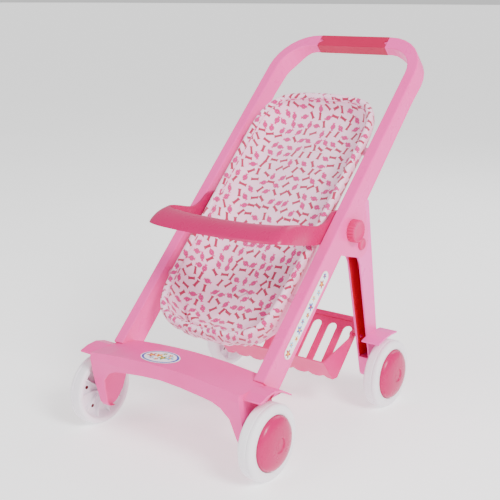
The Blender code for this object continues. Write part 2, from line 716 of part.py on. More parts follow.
def cap_profile():
    """Section of the domed hub cap with its sunk middle disc."""
    seat = WHEEL_WIDTH * WEB_SHARE + 2.8 * MM + FIT
    rim = WHEEL_WIDTH - 1.0 * MM
    crown = rim + CAP_HEIGHT - 5.5 * MM
    dome = []
    for share in (0.0, 0.3, 0.6, 0.85):
        radius = lerp(CAP_RADIUS, CAP_DISC_RADIUS + 1.0 * MM, share)
        flat = (radius - CAP_DISC_RADIUS) / (CAP_RADIUS - CAP_DISC_RADIUS)
        dome.append((radius, rim + (crown - rim) * sqrt(max(0.0, 1.0 - flat * flat))))
    inner = [(radius - CAP_WALL * (1.0 - 0.8 * i / 3.0), z - CAP_WALL * (0.35 + 0.65 * i / 3.0))
             for i, (radius, z) in enumerate(dome)]
    disc = crown - 1.2 * MM
    profile = [(0.0, disc), (CAP_DISC_RADIUS - 0.4 * MM, disc), (CAP_DISC_RADIUS, crown)]
    profile += list(reversed(dome)) + [(CAP_RADIUS, seat), (CAP_RADIUS - CAP_WALL, seat)]
    profile += inner + [(0.0, disc - CAP_WALL)]
    return profile


def make_wheel_set(end, axle, label, side, materials):
    """One wheel with its hub cap and the axle pin that holds it on."""
    name = f"{end}_{label}"
    start = side * WHEEL_INNER_X
    wheel = lathe(f"wheel_{name}", wheel_profile(), axle, start, side, WHEEL_SIDES, materials["wheel"])
    cap = lathe(f"hub_cap_{name}", cap_profile(), axle, start, side, WHEEL_SIDES, materials["magenta"])
    tail = AXLE_BOSS_X - AXLE_SINK + FIT
    reach = WHEEL_INNER_X + WHEEL_WIDTH * WEB_SHARE + 2.2 * MM + RUN - tail
    profile = [(0.0, 0.0), (AXLE_RADIUS - 0.6 * MM, 0.0), (AXLE_RADIUS, 0.6 * MM),
               (AXLE_RADIUS, reach), (AXLE_HEAD_RADIUS, reach),
               (AXLE_HEAD_RADIUS - 0.6 * MM, reach + AXLE_HEAD_HEIGHT - 0.4 * MM),
               (0.0, reach + AXLE_HEAD_HEIGHT)]
    pin = lathe(f"axle_{name}", profile, axle, side * tail, side, 16, materials["steel"])
    for obj in (wheel, cap, pin):
        set_origin(obj, (start, axle[0], axle[1]))


# ---------------------------------------------------------------- rear legs

def rear_inner_x(z):
    """X of the rear leg's inner face at a height."""
    share = (z - WHEEL_RADIUS) / (PIVOT_AXIS[1] - WHEEL_RADIUS)
    return lerp(REAR_INNER_FOOT_X, REAR_INNER_TOP_X, share)


def rear_leg_edges():
    """The front and the rear edge of the leg in side view, from the top down."""
    heel_low = KNOB_UP + 38.0 * MM
    heel_top = KNOB_UP + 56.0 * MM
    stop = 0.6 * MM
    y, z = PIVOT_AXIS
    front = [side_point(heel_top, -leg_depth(heel_top) - stop),
             side_point(heel_low, -leg_depth(heel_low) - stop),
             (y - 7.0 * MM, z + 22.0 * MM), (y - 13.0 * MM, z - 3.0 * MM),
             (y + 3.5 * MM, z - 30.5 * MM)]
    rear = [(front[0][0] + 6.0 * MM, front[0][1] - 4.0 * MM), (y + 30.0 * MM, z + 12.5 * MM)]
    return front, rear


def rear_leg_outline():
    """Side view of a rear leg, its heel at the top and its foot round the axle."""
    front, rear = rear_leg_edges()
    foot = arc(REAR_AXLE, REAR_FOOT_RADIUS, radians(193.0), radians(368.0), 9)
    return front + foot + list(reversed(rear))


def slanted_prism(name, outline, inner_x, outer_x, side, material=None):
    """An outline stretched from a slanted inner face to a plane outer face."""
    rings = [[(side * inner_x(z), y, z) for y, z in outline],
             [(side * outer_x, y, z) for y, z in outline]]
    return loft(name, rings, material)


def channel_outline():
    """Side view of the channel that leaves the leg's rear wall."""
    front, rear = rear_leg_edges()
    y, z = REAR_AXLE
    wall = REAR_WALL
    top = rear[0][1] + 30.0 * MM
    low_share = (CHANNEL_FOOT - z) / (rear[1][1] - z)
    low_y = lerp(y + REAR_FOOT_RADIUS, rear[1][0], low_share) - wall
    return [(front[-1][0] - 60.0 * MM, top), (rear[0][0] - wall - 1.2 * MM, top),
            (rear[0][0] - wall - 1.2 * MM, rear[0][1]), (rear[1][0] - wall, rear[1][1]),
            (low_y, CHANNEL_FOOT), (front[-1][0] - 60.0 * MM, CHANNEL_FOOT)]


def make_rear_leg(label, side, material):
    """A rear leg: channel with a stop heel, ribs, fender and axle foot."""
    leg = slanted_prism(f"rear_leg_{label}", rear_leg_outline(), rear_inner_x, REAR_OUTER_X, side, material)
    inner = slanted_prism("leg_hollow", channel_outline(), lambda z: rear_inner_x(z) + REAR_WALL,
                          REAR_OUTER_X - REAR_WALL, side)
    cut(leg, inner)
    rear = rear_leg_edges()[1][1]
    rib_top = PIVOT_AXIS[1] - 22.0 * MM
    rib_foot = rib_top - 30.0 * MM
    for i in range(CHANNEL_RIBS):
        x = lerp(REAR_INNER_TOP_X, REAR_OUTER_X, (i + 1) / (CHANNEL_RIBS + 1))
        slope = (REAR_AXLE[0] + REAR_FOOT_RADIUS - rear[0]) / (rear[1] - REAR_AXLE[1])
        top_y = rear[0] + slope * (rear[1] - rib_top)
        foot_y = rear[0] + slope * (rear[1] - rib_foot)
        outline = [(top_y - 1.0 * MM, rib_top), (foot_y - 1.0 * MM, rib_foot),
                   (foot_y - REAR_WALL - RIB_RISE, rib_foot), (top_y - REAR_WALL - RIB_RISE, rib_top)]
        join(leg, prism("rib", outline, *span(side, x - RIB_WIDTH / 2.0, x + RIB_WIDTH / 2.0)))
    tops = ((0.0, 107.0 * MM), (0.35, 111.5 * MM), (0.7, 113.5 * MM), (1.0, 113.0 * MM))
    y = REAR_AXLE_Y
    join(leg, fender("rear_fender", side, y - 40.0 * MM, y + 13.0 * MM, tops, REAR_OUTER_X - 1.0 * MM))
    wide = span(side, REAR_INNER_TOP_X - 5.0 * MM, REAR_OUTER_X + 5.0 * MM)
    cut(leg, rod("leg_pivot_hole", PIVOT_AXIS, *wide, PIN_RADIUS + RUN, sides=16))
    join(leg, rod("rear_axle_boss", REAR_AXLE, *span(side, REAR_OUTER_X - 1.0 * MM, AXLE_BOSS_X),
                  AXLE_BOSS_RADIUS, sides=16))
    cut(leg, axle_hole(REAR_AXLE, side))
    pin_x = span(side, REAR_INNER_TOP_X, rear_inner_x(BASKET_PIVOT[1]) + REAR_WALL + 3.0 * MM)
    cut(leg, rod("leg_basket_hole", BASKET_PIVOT, *pin_x, BASKET_PIN_RADIUS + FIT, sides=12))
    set_origin(leg, (0.0, PIVOT_AXIS[0], PIVOT_AXIS[1]))
    return leg


def make_pivot_pin(label, side, materials):
    """The headed pin that a rear leg swings on, and the washer on its inner end."""
    head = FRAME_HALF_WIDTH + FIT + PIN_HEAD_HEIGHT
    washer_outer = REAR_INNER_TOP_X - 0.5 * MM
    washer_inner = washer_outer - 1.8 * MM
    length = head - washer_inner + 1.2 * MM
    profile = [(0.0, 0.0), (PIN_HEAD_RADIUS - 0.8 * MM, 0.0), (PIN_HEAD_RADIUS, 0.8 * MM),
               (PIN_HEAD_RADIUS, PIN_HEAD_HEIGHT), (PIN_RADIUS, PIN_HEAD_HEIGHT),
               (PIN_RADIUS, length - 0.6 * MM), (PIN_RADIUS - 0.6 * MM, length), (0.0, length)]
    lathe(f"pivot_pin_{label}", profile, PIVOT_AXIS, side * head, -side, 16, materials["knob"])
    ring = [(PIN_RADIUS + FIT, 0.0), (PIN_RADIUS + 3.6 * MM, 0.0), (PIN_RADIUS + 3.6 * MM, 1.8 * MM),
            (PIN_RADIUS + FIT, 1.8 * MM)]
    lathe(f"pivot_washer_{label}", ring, PIVOT_AXIS, side * washer_inner, side, 16, materials["steel"])


# ---------------------------------------------------------------- knobs

def make_knob(label, side, materials):
    """A fluted knob with its stud, and the hexagon nut on the stud."""
    base = FRAME_HALF_WIDTH + FIT
    face = base + KNOB_HEIGHT
    count = KNOB_FLUTES * 2
    flutes = []
    for i in range(count):
        radius = KNOB_RADIUS - (FLUTE_DEPTH if i % 2 else 0.0)
        angle = 2.0 * pi * i / count
        flutes.append((KNOB_AXIS[0] + radius * cos(angle), KNOB_AXIS[1] + radius * sin(angle)))
    crown = [(lerp(KNOB_AXIS[0], y, 0.93), lerp(KNOB_AXIS[1], z, 0.93)) for y, z in flutes]
    rings = [[(side * x, y, z) for y, z in ring] for x, ring in (
        (base, flutes), (face - 1.0 * MM, flutes), (face, crown))]
    knob = loft(f"knob_{label}", rings, materials["knob"])
    nut_inner = TRAY_INNER_X - TRAY_RING_PROUD - FIT - NUT_HEIGHT
    stud = span(side, nut_inner - 0.8 * MM, base + 2.0 * MM)
    join(knob, rod("stud", KNOB_AXIS, *stud, STUD_RADIUS, sides=16))
    set_origin(knob, (0.0, KNOB_AXIS[0], KNOB_AXIS[1]))
    nut = rod(f"knob_nut_{label}", KNOB_AXIS, *span(side, nut_inner, nut_inner + NUT_HEIGHT),
              NUT_RADIUS, materials["steel"], sides=6)
    hole = span(side, nut_inner - 2.0 * MM, nut_inner + NUT_HEIGHT + 2.0 * MM)
    cut(nut, rod("nut_hole", KNOB_AXIS, *hole, STUD_RADIUS + FIT, sides=16))


# ---------------------------------------------------------------- seat

def seat_half_outline():
    """(x, up) places of the rim's right half, from the top down to the foot."""
    wide = SEAT_HALF_WIDTH
    top = SEAT_TOP_UP
    foot = SEAT_FOOT_UP
    return [(0.0, top), (wide * 0.44, top - 2.0 * MM), (wide * 0.76, top - 11.0 * MM),
            (wide * 0.93, top - 32.0 * MM), (wide * 0.995, top - 62.0 * MM), (wide, top - 110.0 * MM),
            (wide * 0.995, top - 180.0 * MM), (wide * 0.99, foot + 180.0 * MM),
            (wide * 0.985, foot + 110.0 * MM), (wide * 0.965, foot + 62.0 * MM),
            (wide * 0.89, foot + 32.0 * MM), (wide * 0.70, foot + 12.0 * MM),
            (wide * 0.38, foot + 3.0 * MM), (0.0, foot)]


def seat_rim():
    """Evenly spaced (x, up) places round the whole rim, mirrored in X."""
    path = smooth_path([Vector((x, up, 0.0)) for x, up in seat_half_outline()], 8)
    lengths = [0.0]
    for first, second in zip(path, path[1:]):
        lengths.append(lengths[-1] + (second - first).length)
    half = SEAT_SIDES // 2
    right = []
    for i in range(half + 1):
        target = lengths[-1] * i / half
        index = min(next((n for n, run in enumerate(lengths) if run >= target), len(path) - 1),
                    len(path) - 1)
        index = max(index, 1)
        share = (target - lengths[index - 1]) / (lengths[index] - lengths[index - 1])
        place = path[index - 1].lerp(path[index], min(1.0, share))
        right.append((place.x, place.y))
    left = [(-x, up) for x, up in reversed(right[1:-1])]
    return right + left


def rim_half_width(up):
    """Half width of the seat's rim at a place along the frame."""
    near = sorted(seat_half_outline(), key=lambda place: abs(place[1] - up))
    (x0, up0), (x1, up1) = near[:2]
    return lerp(x0, x1, (up - up0) / (up1 - up0))


def seat_depth(up):
    """Depth of the bucket below its rim."""
    middle = (SEAT_FOOT_UP + SEAT_TOP_UP) / 2.0
    pan = SEAT_FOOT_UP + 110.0 * MM
    share = min(1.0, max(0.0, (middle + 50.0 * MM - up) / (middle + 50.0 * MM - pan)))
    share = share * share * (3.0 - 2.0 * share)
    return lerp(SEAT_DEPTH_BACK, SEAT_DEPTH_PAN, share)


def seat_ring(rim, inset, share, offset):
    """A ring of the bucket, moved in from the rim and down by a share of its depth."""
    low = SEAT_FOOT_UP + SEAT_HALF_WIDTH
    high = SEAT_TOP_UP - SEAT_HALF_WIDTH
    ring = []
    for x, up in rim:
        towards = Vector((-x, min(high, max(low, up)) - up))
        step = towards.normalized() * (inset + offset)
        depth = share * (seat_depth(up) - offset)
        ring.append(on_frame(x + step.x, up + step.y, SEAT_RIM_OUT - depth))
    return ring


BUCKET_WALL = ((0.0, 0.0), (3.0 * MM, 0.38), (9.0 * MM, 0.72), (20.0 * MM, 0.92), (40.0 * MM, 1.0))


def bucket(name, rings, material):
    """A closed skin over rings that start and end at the bottom of the bucket."""
    bm = bmesh.new()
    loops = [[bm.verts.new(point) for point in ring] for ring in rings]
    count = len(loops[0])
    for first, second in zip(loops, loops[1:]):
        for i in range(count):
            j = (i + 1) % count
            bm.faces.new((first[i], first[j], second[j], second[i]))
    for ring in (loops[0], loops[-1]):
        for i in range(count // 2):
            corners = []
            for vert in (ring[i], ring[i + 1], ring[(count - i - 1) % count], ring[(count - i) % count]):
                if vert not in corners:
                    corners.append(vert)
            bm.faces.new(corners)
    return add_object(name, bm, material, radians(50.0))


def make_seat_shell(material):
    """The moulded bucket with the four bosses and pegs that hang it in the frame."""
    rim = seat_rim()
    outer = [seat_ring(rim, inset, share, 0.0) for inset, share in reversed(BUCKET_WALL)]
    inner = [seat_ring(rim, inset, share, SEAT_WALL) for inset, share in BUCKET_WALL]
    shell = bucket("seat_shell", outer + inner, material)
    for _, side in SIDES:
        for up in PEG_UPS:
            axis = side_point(up, PEG_OUT)
            start = rim_half_width(up) - 2.8 * MM
            join(shell, rod("peg_boss", axis, *span(side, start, FRAME_INNER_X - FIT),
                            PEG_BOSS_RADIUS, sides=14))
            peg = span(side, FRAME_INNER_X - 2.0 * MM, FRAME_INNER_X + FRAME_WALL)
            join(shell, rod("peg", axis, *peg, PEG_RADIUS, sides=12))
    return shell


def make_seat_cover(material):
    """The padded cover that lines the bucket and laps over its rim."""
    rim = seat_rim()
    gap = SEAT_WALL + FIT + 0.1 * MM
    under = [seat_ring(rim, inset, share, gap) for inset, share in reversed(BUCKET_WALL[1:])]

    def lap(inset, rise):
        return [point + OUT * rise for point in seat_ring(rim, inset, 0.0, 0.0)]

    under.append(lap(gap, 0.4 * MM))
    under.append(lap(-0.8 * MM, 0.4 * MM))
    top = [lap(-0.8 * MM, COVER_LIP - 1.2 * MM), lap(1.2 * MM, COVER_LIP),
           lap(gap + COVER_WALL, COVER_LIP - 0.8 * MM)]
    top += [seat_ring(rim, inset, share, gap + COVER_WALL) for inset, share in BUCKET_WALL[1:]]
    return bucket("seat_cover", under + top, material)


# ---------------------------------------------------------------- tray

def tray_stations():
    """Half of the tray as (inner top edge, outer bottom edge, top width, hollow share).

    The stations run from the pivot ring along the right arm to the middle of the
    front. Heights and depths are measured from the knobs' axis.
    """
    inner = TRAY_INNER_X
    outer = TRAY_OUTER_X
    full = outer - inner
    rows = (
        (inner, 2.0, 26.0, outer, 2.0, -13.2, full, 0.0),
        (inner, -18.0, 27.0, outer, -18.0, -13.0, full, 0.0),
        (inner, -34.0, 17.5, outer, -38.0, -12.6, full * 0.95, 0.0),
        (inner, -50.0, 13.3, outer, -56.0, -10.8, full * 0.7, 0.1),
        (inner, -67.0, 15.0, outer + 0.3 * MM, -72.0, -9.0, full * 0.45, 0.3),
        (inner, -84.0, 19.0, outer + 0.8 * MM, -88.0, -6.0, full * 0.3, 0.6),
        (inner - 0.3 * MM, -98.0, 22.0, outer + 2.0 * MM, -108.0, -2.2, full * 0.25, 1.0),
        (inner - 2.5 * MM, -110.0, 23.6, outer + 2.6 * MM, -128.0, 2.4, full * 0.25, 1.0),
        (inner - 9.0 * MM, -116.0, 23.6, outer - 0.5 * MM, -149.0, 6.0, full * 0.25, 1.0),
        (inner - 24.0 * MM, -121.0, 22.6, outer - 20.0 * MM, -157.0, 6.0, full * 0.25, 1.0),
        (inner - 58.0 * MM, -126.0, 21.5, outer - 58.0 * MM, -162.0, 6.0, full * 0.25, 1.0),
        (0.0, -128.0, 21.0, 0.0, -164.0, 6.0, full * 0.25, 1.0),
    )
    edges = []
    for x0, y0, z0, x1, y1, z1, width, hollow in rows:
        top = Vector((x0, KNOB_AXIS[0] + y0 * MM, KNOB_AXIS[1] + z0 * MM))
        low = Vector((x1, KNOB_AXIS[0] + y1 * MM, KNOB_AXIS[1] + z1 * MM))
        edges.append((top, low, Vector((width, hollow, 0.0))))
    return edges


def tray_section(top, low, width, hollow):
    """Seven points round the band's section: a plate at the arms, a brim in front."""
    across = Vector((low.x - top.x, low.y - top.y, 0.0))
    reach = across.length
    towards = across.normalized()
    if hollow < 0.05:
        towards = Vector((1.0, 0.0, 0.0))
    slope = (top.z - low.z) / reach
    drop = sqrt(1.0 + slope * slope)
    under = low + TRAY_WALL * (-towards * slope - Vector((0.0, 0.0, 1.0))) / drop
    side_wall = max(TRAY_SIDE_WALL, min(top.z - low.z - 1.0 * MM, 40.0 * MM))
    corner = TRAY_WALL * (slope + drop)
    corner = min(corner, side_wall - 0.6 * MM)
    down = Vector((0.0, 0.0, 1.0))
    inner_corner = top + towards * TRAY_WALL - down * corner
    wall_outer = top + towards * TRAY_WALL - down * side_wall
    wall_inner = top - down * side_wall
    plate_inner = Vector((top.x, top.y, low.z))
    flat = [low.lerp(plate_inner, share) for share in (0.25, 0.5, 0.75, 1.0)]
    shaped = [under, inner_corner, wall_outer, wall_inner]
    lower = [plain.lerp(bent, hollow) for plain, bent in zip(flat, shaped)]
    rim = top + towards * width
    return [top, rim, low] + lower


def make_tray(material):
    """The play tray: two arms with pivot rings and a brimmed front bar."""
    stations = tray_stations()
    tops, lows, shapes = ([row[i] for row in stations] for i in range(3))
    tops = smooth_path(tops, TRAY_SMOOTHING)
    lows = smooth_path(lows, TRAY_SMOOTHING)
    shapes = smooth_path(shapes, TRAY_SMOOTHING)
    right = [tray_section(top, low, shape.x, min(1.0, max(0.0, shape.y)))
             for top, low, shape in zip(tops, lows, shapes)]
    left = [[Vector((-p.x, p.y, p.z)) for p in ring] for ring in reversed(right[:-1])]
    tray = loft("tray", right + left, material)
    for _, side in SIDES:
        ring_x = span(side, TRAY_INNER_X - TRAY_RING_PROUD, TRAY_OUTER_X + TRAY_RING_PROUD)
        join(tray, rod("tray_ring", KNOB_AXIS, *ring_x, TRAY_RING_RADIUS, sides=24))
        wide = span(side, TRAY_INNER_X - 5.0 * MM, TRAY_OUTER_X + 5.0 * MM)
        cut(tray, rod("tray_hole", KNOB_AXIS, *wide, STUD_RADIUS + RUN, sides=16))
    set_origin(tray, (0.0, KNOB_AXIS[0], KNOB_AXIS[1]))
    return tray


# ---------------------------------------------------------------- basket

def basket_directions():
    """Unit vectors up the back wall and up the lip, and into the basket from each."""
    valley = Vector(BASKET_VALLEY)
    back_way = (Vector(BASKET_TOP) - valley).normalized()
    lip_way = (Vector(BASKET_LIP) - valley).normalized()
    back_in = Vector((-back_way.y, back_way.x))
    lip_in = Vector((lip_way.y, -lip_way.x))
    return back_way, lip_way, back_in, lip_in


def basket_section(x, inside=False):
    """The basket's (y, z) section at x, or the trough that is hollowed out of it."""
    wave = abs(sin(pi * x / SLOT_PITCH))
    valley = Vector((BASKET_VALLEY[0], BASKET_VALLEY[1] + SCALLOP_RISE * (1.0 - sqrt(wave))))
    top = Vector(BASKET_TOP)
    lip = Vector(BASKET_LIP)
    back_way, lip_way, back_in, lip_in = basket_directions()
    bend = 9.0 * MM
    round_back = Vector(BASKET_VALLEY) + back_way * 2.0 * bend
    round_lip = Vector(BASKET_VALLEY) + lip_way * 2.0 * bend
    low = valley.lerp((round_back + round_lip) / 2.0, 0.22)
    low_back = low.lerp(round_back, 0.45) - back_in * 1.2 * MM
    low_lip = low.lerp(round_lip, 0.45) - lip_in * 1.2 * MM
    if inside:
        points = [top + back_in * BASKET_WALL + back_way * bend, round_back + back_in * BASKET_WALL,
                  low_back + back_in * BASKET_WALL, low_lip + lip_in * BASKET_WALL,
                  round_lip + lip_in * BASKET_WALL, lip + lip_in * BASKET_WALL + lip_way * bend * 3.0]
    else:
        points = [top, round_back, low_back, low_lip, round_lip, lip,
                  lip + lip_in * BASKET_WALL, top + back_in * 2.0 * BASKET_WALL]
    return [(x, y, z) for y, z in points]


def basket_trim():
    """Cutter that leaves the end panels as triangles and thins the upper back wall."""
    top = Vector(BASKET_TOP)
    back_way, lip_way, back_in, lip_in = basket_directions()
    apex = top - back_way * ((top.y - BASKET_APEX_Z) / back_way.y)
    lip = Vector(BASKET_LIP) - lip_way * 0.7 * MM
    reach = 40.0 * MM
    outline = [apex + back_in * BASKET_UPPER_WALL, lip, lip + lip_way * reach,
               top + back_in * reach * 2.0 + back_way * reach,
               top + back_in * BASKET_UPPER_WALL + back_way * reach / 4.0]
    half = BASKET_HALF_WIDTH + 5.0 * MM
    return prism("basket_trim", [(p.x, p.y) for p in outline], -half, half)


def basket_loft(name, half, inside, material):
    """The section stretched across the basket, following its scallops."""
    steps = SLOT_COUNT * 4 - 2
    step = SLOT_PITCH / 4.0
    xs = [-half] + [(i - steps / 2) * step for i in range(steps + 1)] + [half]
    return loft(name, [basket_section(x, inside) for x in xs], material)


def make_basket(material):
    """The scalloped basket with slots in its back and an ear at each end."""
    basket = basket_loft("basket", BASKET_HALF_WIDTH, False, material)
    cut(basket, basket_trim())
    for _, side in SIDES:
        ear_x = span(side, BASKET_HALF_WIDTH - 3.0 * BASKET_WALL, BASKET_HALF_WIDTH + BASKET_EAR_PROUD)
        join(basket, rod("basket_ear", BASKET_PIVOT, *ear_x, BASKET_EAR_RADIUS, sides=18))
    cut(basket, basket_loft("basket_hollow", BASKET_HALF_WIDTH - BASKET_WALL, True, None))
    top = Vector(BASKET_TOP)
    way = (Vector(BASKET_VALLEY) - top).normalized()
    normal = Vector((way.y, -way.x))
    corners = ((-0.8, -1.6), (7.0, -1.6), (7.0, 4.0), (-0.8, 4.0))
    rim = [top + way * along * MM + normal * rise * MM for along, rise in corners]
    rim_half = BASKET_HALF_WIDTH - 0.6 * MM
    join(basket, prism("basket_rim", [(p.x, p.y) for p in rim], -rim_half, rim_half))
    for _, side in SIDES:
        hole_x = span(side, BASKET_HALF_WIDTH - 8.0 * MM, BASKET_HALF_WIDTH + 5.0 * MM)
        cut(basket, rod("basket_ear_hole", BASKET_PIVOT, *hole_x, BASKET_PIN_RADIUS + RUN, sides=14))
    for i in range(SLOT_COUNT):
        cut(basket, basket_slot((i - (SLOT_COUNT - 1) / 2.0) * SLOT_PITCH))
    set_origin(basket, (0.0, BASKET_PIVOT[0], BASKET_PIVOT[1]))
    return basket


def basket_slot(x):
    """Cutter for one round-topped slot in the basket's back."""
    top = Vector(BASKET_TOP)
    valley = Vector(BASKET_VALLEY)
    way = (valley - top).normalized()
    normal = Vector((way.y, -way.x))
    length = (valley - top).length
    radius = SLOT_WIDTH / 2.0
    start = SLOT_END_GAP + radius
    end = length - SLOT_END_GAP
    places = [(x - radius, end), (x + radius, end)]
    for i in range(7):
        angle = pi * i / 6
        places.append((x + radius * cos(angle), start - radius * sin(angle)))
    rings = []
    for rise in (8.0 * MM, -8.0 * MM):
        rings.append([(px, *(top + way * along + normal * rise)) for px, along in places])
    return loft("basket_slot", rings, None)


def make_basket_pin(label, side, material):
    """The pin that hangs one end of the basket on its rear leg."""
    head = BASKET_HALF_WIDTH - BASKET_WALL - FIT
    tail = rear_inner_x(BASKET_PIVOT[1]) + REAR_WALL + 2.6 * MM
    head_height = 2.0 * MM
    radius = BASKET_PIN_RADIUS
    length = tail - head + head_height
    profile = [(0.0, 0.0), (radius + 1.6 * MM, 0.0), (radius + 2.2 * MM, 0.6 * MM),
               (radius + 2.2 * MM, head_height), (radius, head_height), (radius, length - 0.6 * MM),
               (radius - 0.6 * MM, length), (0.0, length)]
    lathe(f"basket_pin_{label}", profile, BASKET_PIVOT, side * (head - head_height), side, 14, material)


# ---------------------------------------------------------------- assembly

def main():
    """Build the whole stroller."""
    clear_scene()
    materials = make_materials()
    make_frame(materials["frame"])
    make_grip(materials["grip"])
    make_crossbar(materials["crossbar"])
    make_badge(materials["sticker"])
    make_seat_shell(materials["seat"])
    make_seat_cover(materials["fabric"])
    make_tray(materials["magenta"])
    make_basket(materials["rear"])
    for label, side in SIDES:
        make_rear_leg(label, side, materials["rear"])
        make_pivot_pin(label, side, materials)
        make_knob(label, side, materials)
        make_basket_pin(label, side, materials["knob"])
        make_crossbar_screw(f"crossbar_screw_{label}", side, materials["steel"])
        make_decal(f"leg_decal_{label}", side, materials["sticker"])
        make_wheel_set("front", FRONT_AXLE, label, side, materials)
        make_wheel_set("rear", REAR_AXLE, label, side, materials)


main()
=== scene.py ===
"""Dresses the folding doll stroller: moulded plastics, printed seat cover, wheels and stickers."""

import logging
from dataclasses import dataclass
from enum import Enum
from math import cos, pi, radians, sin, sqrt
from typing import Callable, Iterable, Sequence

import bmesh
import bpy
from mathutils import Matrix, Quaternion, Vector, noise


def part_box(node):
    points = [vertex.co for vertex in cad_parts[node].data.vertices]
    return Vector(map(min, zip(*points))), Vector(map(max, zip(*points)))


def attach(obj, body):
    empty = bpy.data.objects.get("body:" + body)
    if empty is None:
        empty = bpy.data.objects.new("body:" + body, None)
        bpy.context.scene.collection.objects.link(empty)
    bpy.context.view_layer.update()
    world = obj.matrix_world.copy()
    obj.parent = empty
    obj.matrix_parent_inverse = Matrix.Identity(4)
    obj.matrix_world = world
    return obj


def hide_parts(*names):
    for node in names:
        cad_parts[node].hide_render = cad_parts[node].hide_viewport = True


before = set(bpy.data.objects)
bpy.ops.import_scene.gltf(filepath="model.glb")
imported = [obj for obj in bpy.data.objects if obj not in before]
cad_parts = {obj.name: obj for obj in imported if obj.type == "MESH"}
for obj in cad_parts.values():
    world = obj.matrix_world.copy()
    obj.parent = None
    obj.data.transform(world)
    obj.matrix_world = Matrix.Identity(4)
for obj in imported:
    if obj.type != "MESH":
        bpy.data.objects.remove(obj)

LOG = logging.getLogger("stroller")
MM = 0.001
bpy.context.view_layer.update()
SIDES = (("left", -1), ("right", 1))

FRAME_ANGLE = radians(44.75)
FRAME_FOOT = Vector((0.0, -0.1853, 0.1197))
UP = Vector((0.0, cos(FRAME_ANGLE), sin(FRAME_ANGLE)))
OUT = Vector((0.0, -sin(FRAME_ANGLE), cos(FRAME_ANGLE)))

WELD_REACH = 0.00002
BEVEL_ANGLE = radians(32.0)
BEVEL_STEPS = 3
CORNER_STEPS = 4
CORNER_SHARE = 0.49
SRGB_OFFSET = 0.055
SRGB_POWER = 2.4

Colour = tuple[float, float, float]
Ring = list[Vector]


def on_frame(x: float, up: float, out: float) -> Vector:
    """Point at x, `up` along the frame's front face from its foot and `out` from it."""
    return FRAME_FOOT + Vector((x, 0.0, 0.0)) + up * UP + out * OUT


def lerp(low: float, high: float, share: float) -> float:
    """Value at `share` of the way from low to high."""
    return low + (high - low) * share


def smooth(share: float) -> float:
    """Ease a 0..1 share at both ends."""
    share = min(1.0, max(0.0, share))
    return share * share * (3.0 - 2.0 * share)


def middle_of(node: str) -> Vector:
    """Middle of a CAD node's box."""
    low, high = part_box(node)
    return (Vector(low) + Vector(high)) / 2.0


def faces_of(node: str, side: int) -> tuple[float, float]:
    """X of a node's inner and outer face, on one side of the stroller."""
    low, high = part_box(node)
    return (low[0], high[0]) if side > 0 else (high[0], low[0])


def shares(steps: int) -> list[float]:
    """Evenly spaced shares from 0 to 1."""
    return [i / steps for i in range(steps + 1)]


def turns(count: int) -> list[float]:
    """Evenly spaced angles round a full turn."""
    return [2.0 * pi * i / count for i in range(count)]


def dye(red: int, green: int, blue: int, depth: float = 1.7) -> Colour:
    """Pigment that shows as an 8-bit colour under the bright studio lamps.

    Args:
        red: Red, 0 to 255.
        green: Green, 0 to 255.
        blue: Blue, 0 to 255.
        depth: How much deeper the pigment is than the colour it shows.

    Returns:
        The linear base colour.
    """
    values = [((channel / 255.0 + SRGB_OFFSET) / (1.0 + SRGB_OFFSET)) ** (SRGB_POWER * depth)
              for channel in (red, green, blue)]
    return (values[0], values[1], values[2])


# ---------------------------------------------------------------- node graphs

class Graph:
    """Short hand for building a material's nodes."""

    def __init__(self, name: str) -> None:
        """Open a new material and keep its shader.

        Args:
            name: The material's name.
        """
        self.material = bpy.data.materials.new(name)
        self.material.use_nodes = True
        self.tree = self.material.node_tree
        self.shader = self.tree.nodes["Principled BSDF"]

    def node(self, kind: str, **settings: object) -> bpy.types.Node:
        """Add a node and set its properties."""
        made = self.tree.nodes.new(kind)
        for key, value in settings.items():
            setattr(made, key, value)
        return made

    def feed(self, socket: bpy.types.NodeSocket, value: object) -> None:
        """Link a socket to another, or set its value."""
        if isinstance(value, bpy.types.NodeSocket):
            self.tree.links.new(value, socket)
        else:
            socket.default_value = value

    def math(self, operation: str, first: object, second: object = 0.0,
             third: object = 0.0) -> bpy.types.NodeSocket:
        """A Math node's result."""
        made = self.node("ShaderNodeMath", operation=operation)
        for socket, value in zip(made.inputs, (first, second, third)):
            self.feed(socket, value)
        return made.outputs[0]

    def mix(self, share: object, first: object, second: object) -> bpy.types.NodeSocket:
        """A colour mixed from two by a share."""
        made = self.node("ShaderNodeMix", data_type="RGBA")
        self.feed(made.inputs[0], share)
        for socket, value in ((made.inputs[6], first), (made.inputs[7], second)):
            if isinstance(value, tuple):
                value = (*value, 1.0)
            self.feed(socket, value)
        return made.outputs[2]

    def noise(self, vector: object, scale: float, detail: float = 2.0) -> bpy.types.NodeSocket:
        """A noise texture's value."""
        made = self.node("ShaderNodeTexNoise")
        self.feed(made.inputs["Vector"], vector)
        made.inputs["Scale"].default_value = scale
        made.inputs["Detail"].default_value = detail
        return made.outputs["Fac"]

    def between(self, value: object, low: float, high: float, start: float,
                end: float) -> bpy.types.NodeSocket:
        """A value mapped from one range to another and held inside it."""
        made = self.node("ShaderNodeMapRange")
        for socket, item in zip(made.inputs, (value, low, high, start, end)):
            self.feed(socket, item)
        return made.outputs[0]

    def place(self) -> bpy.types.NodeSocket:
        """The piece's own coordinates."""
        return self.node("ShaderNodeTexCoord").outputs["Object"]

    def bump(self, height: object, strength: float, distance: float) -> None:
        """Bump the surface by a height."""
        made = self.node("ShaderNodeBump")
        made.inputs["Strength"].default_value = strength
        made.inputs["Distance"].default_value = distance
        self.feed(made.inputs["Height"], height)
        self.feed(self.shader.inputs["Normal"], made.outputs["Normal"])


# ---------------------------------------------------------------- finishes

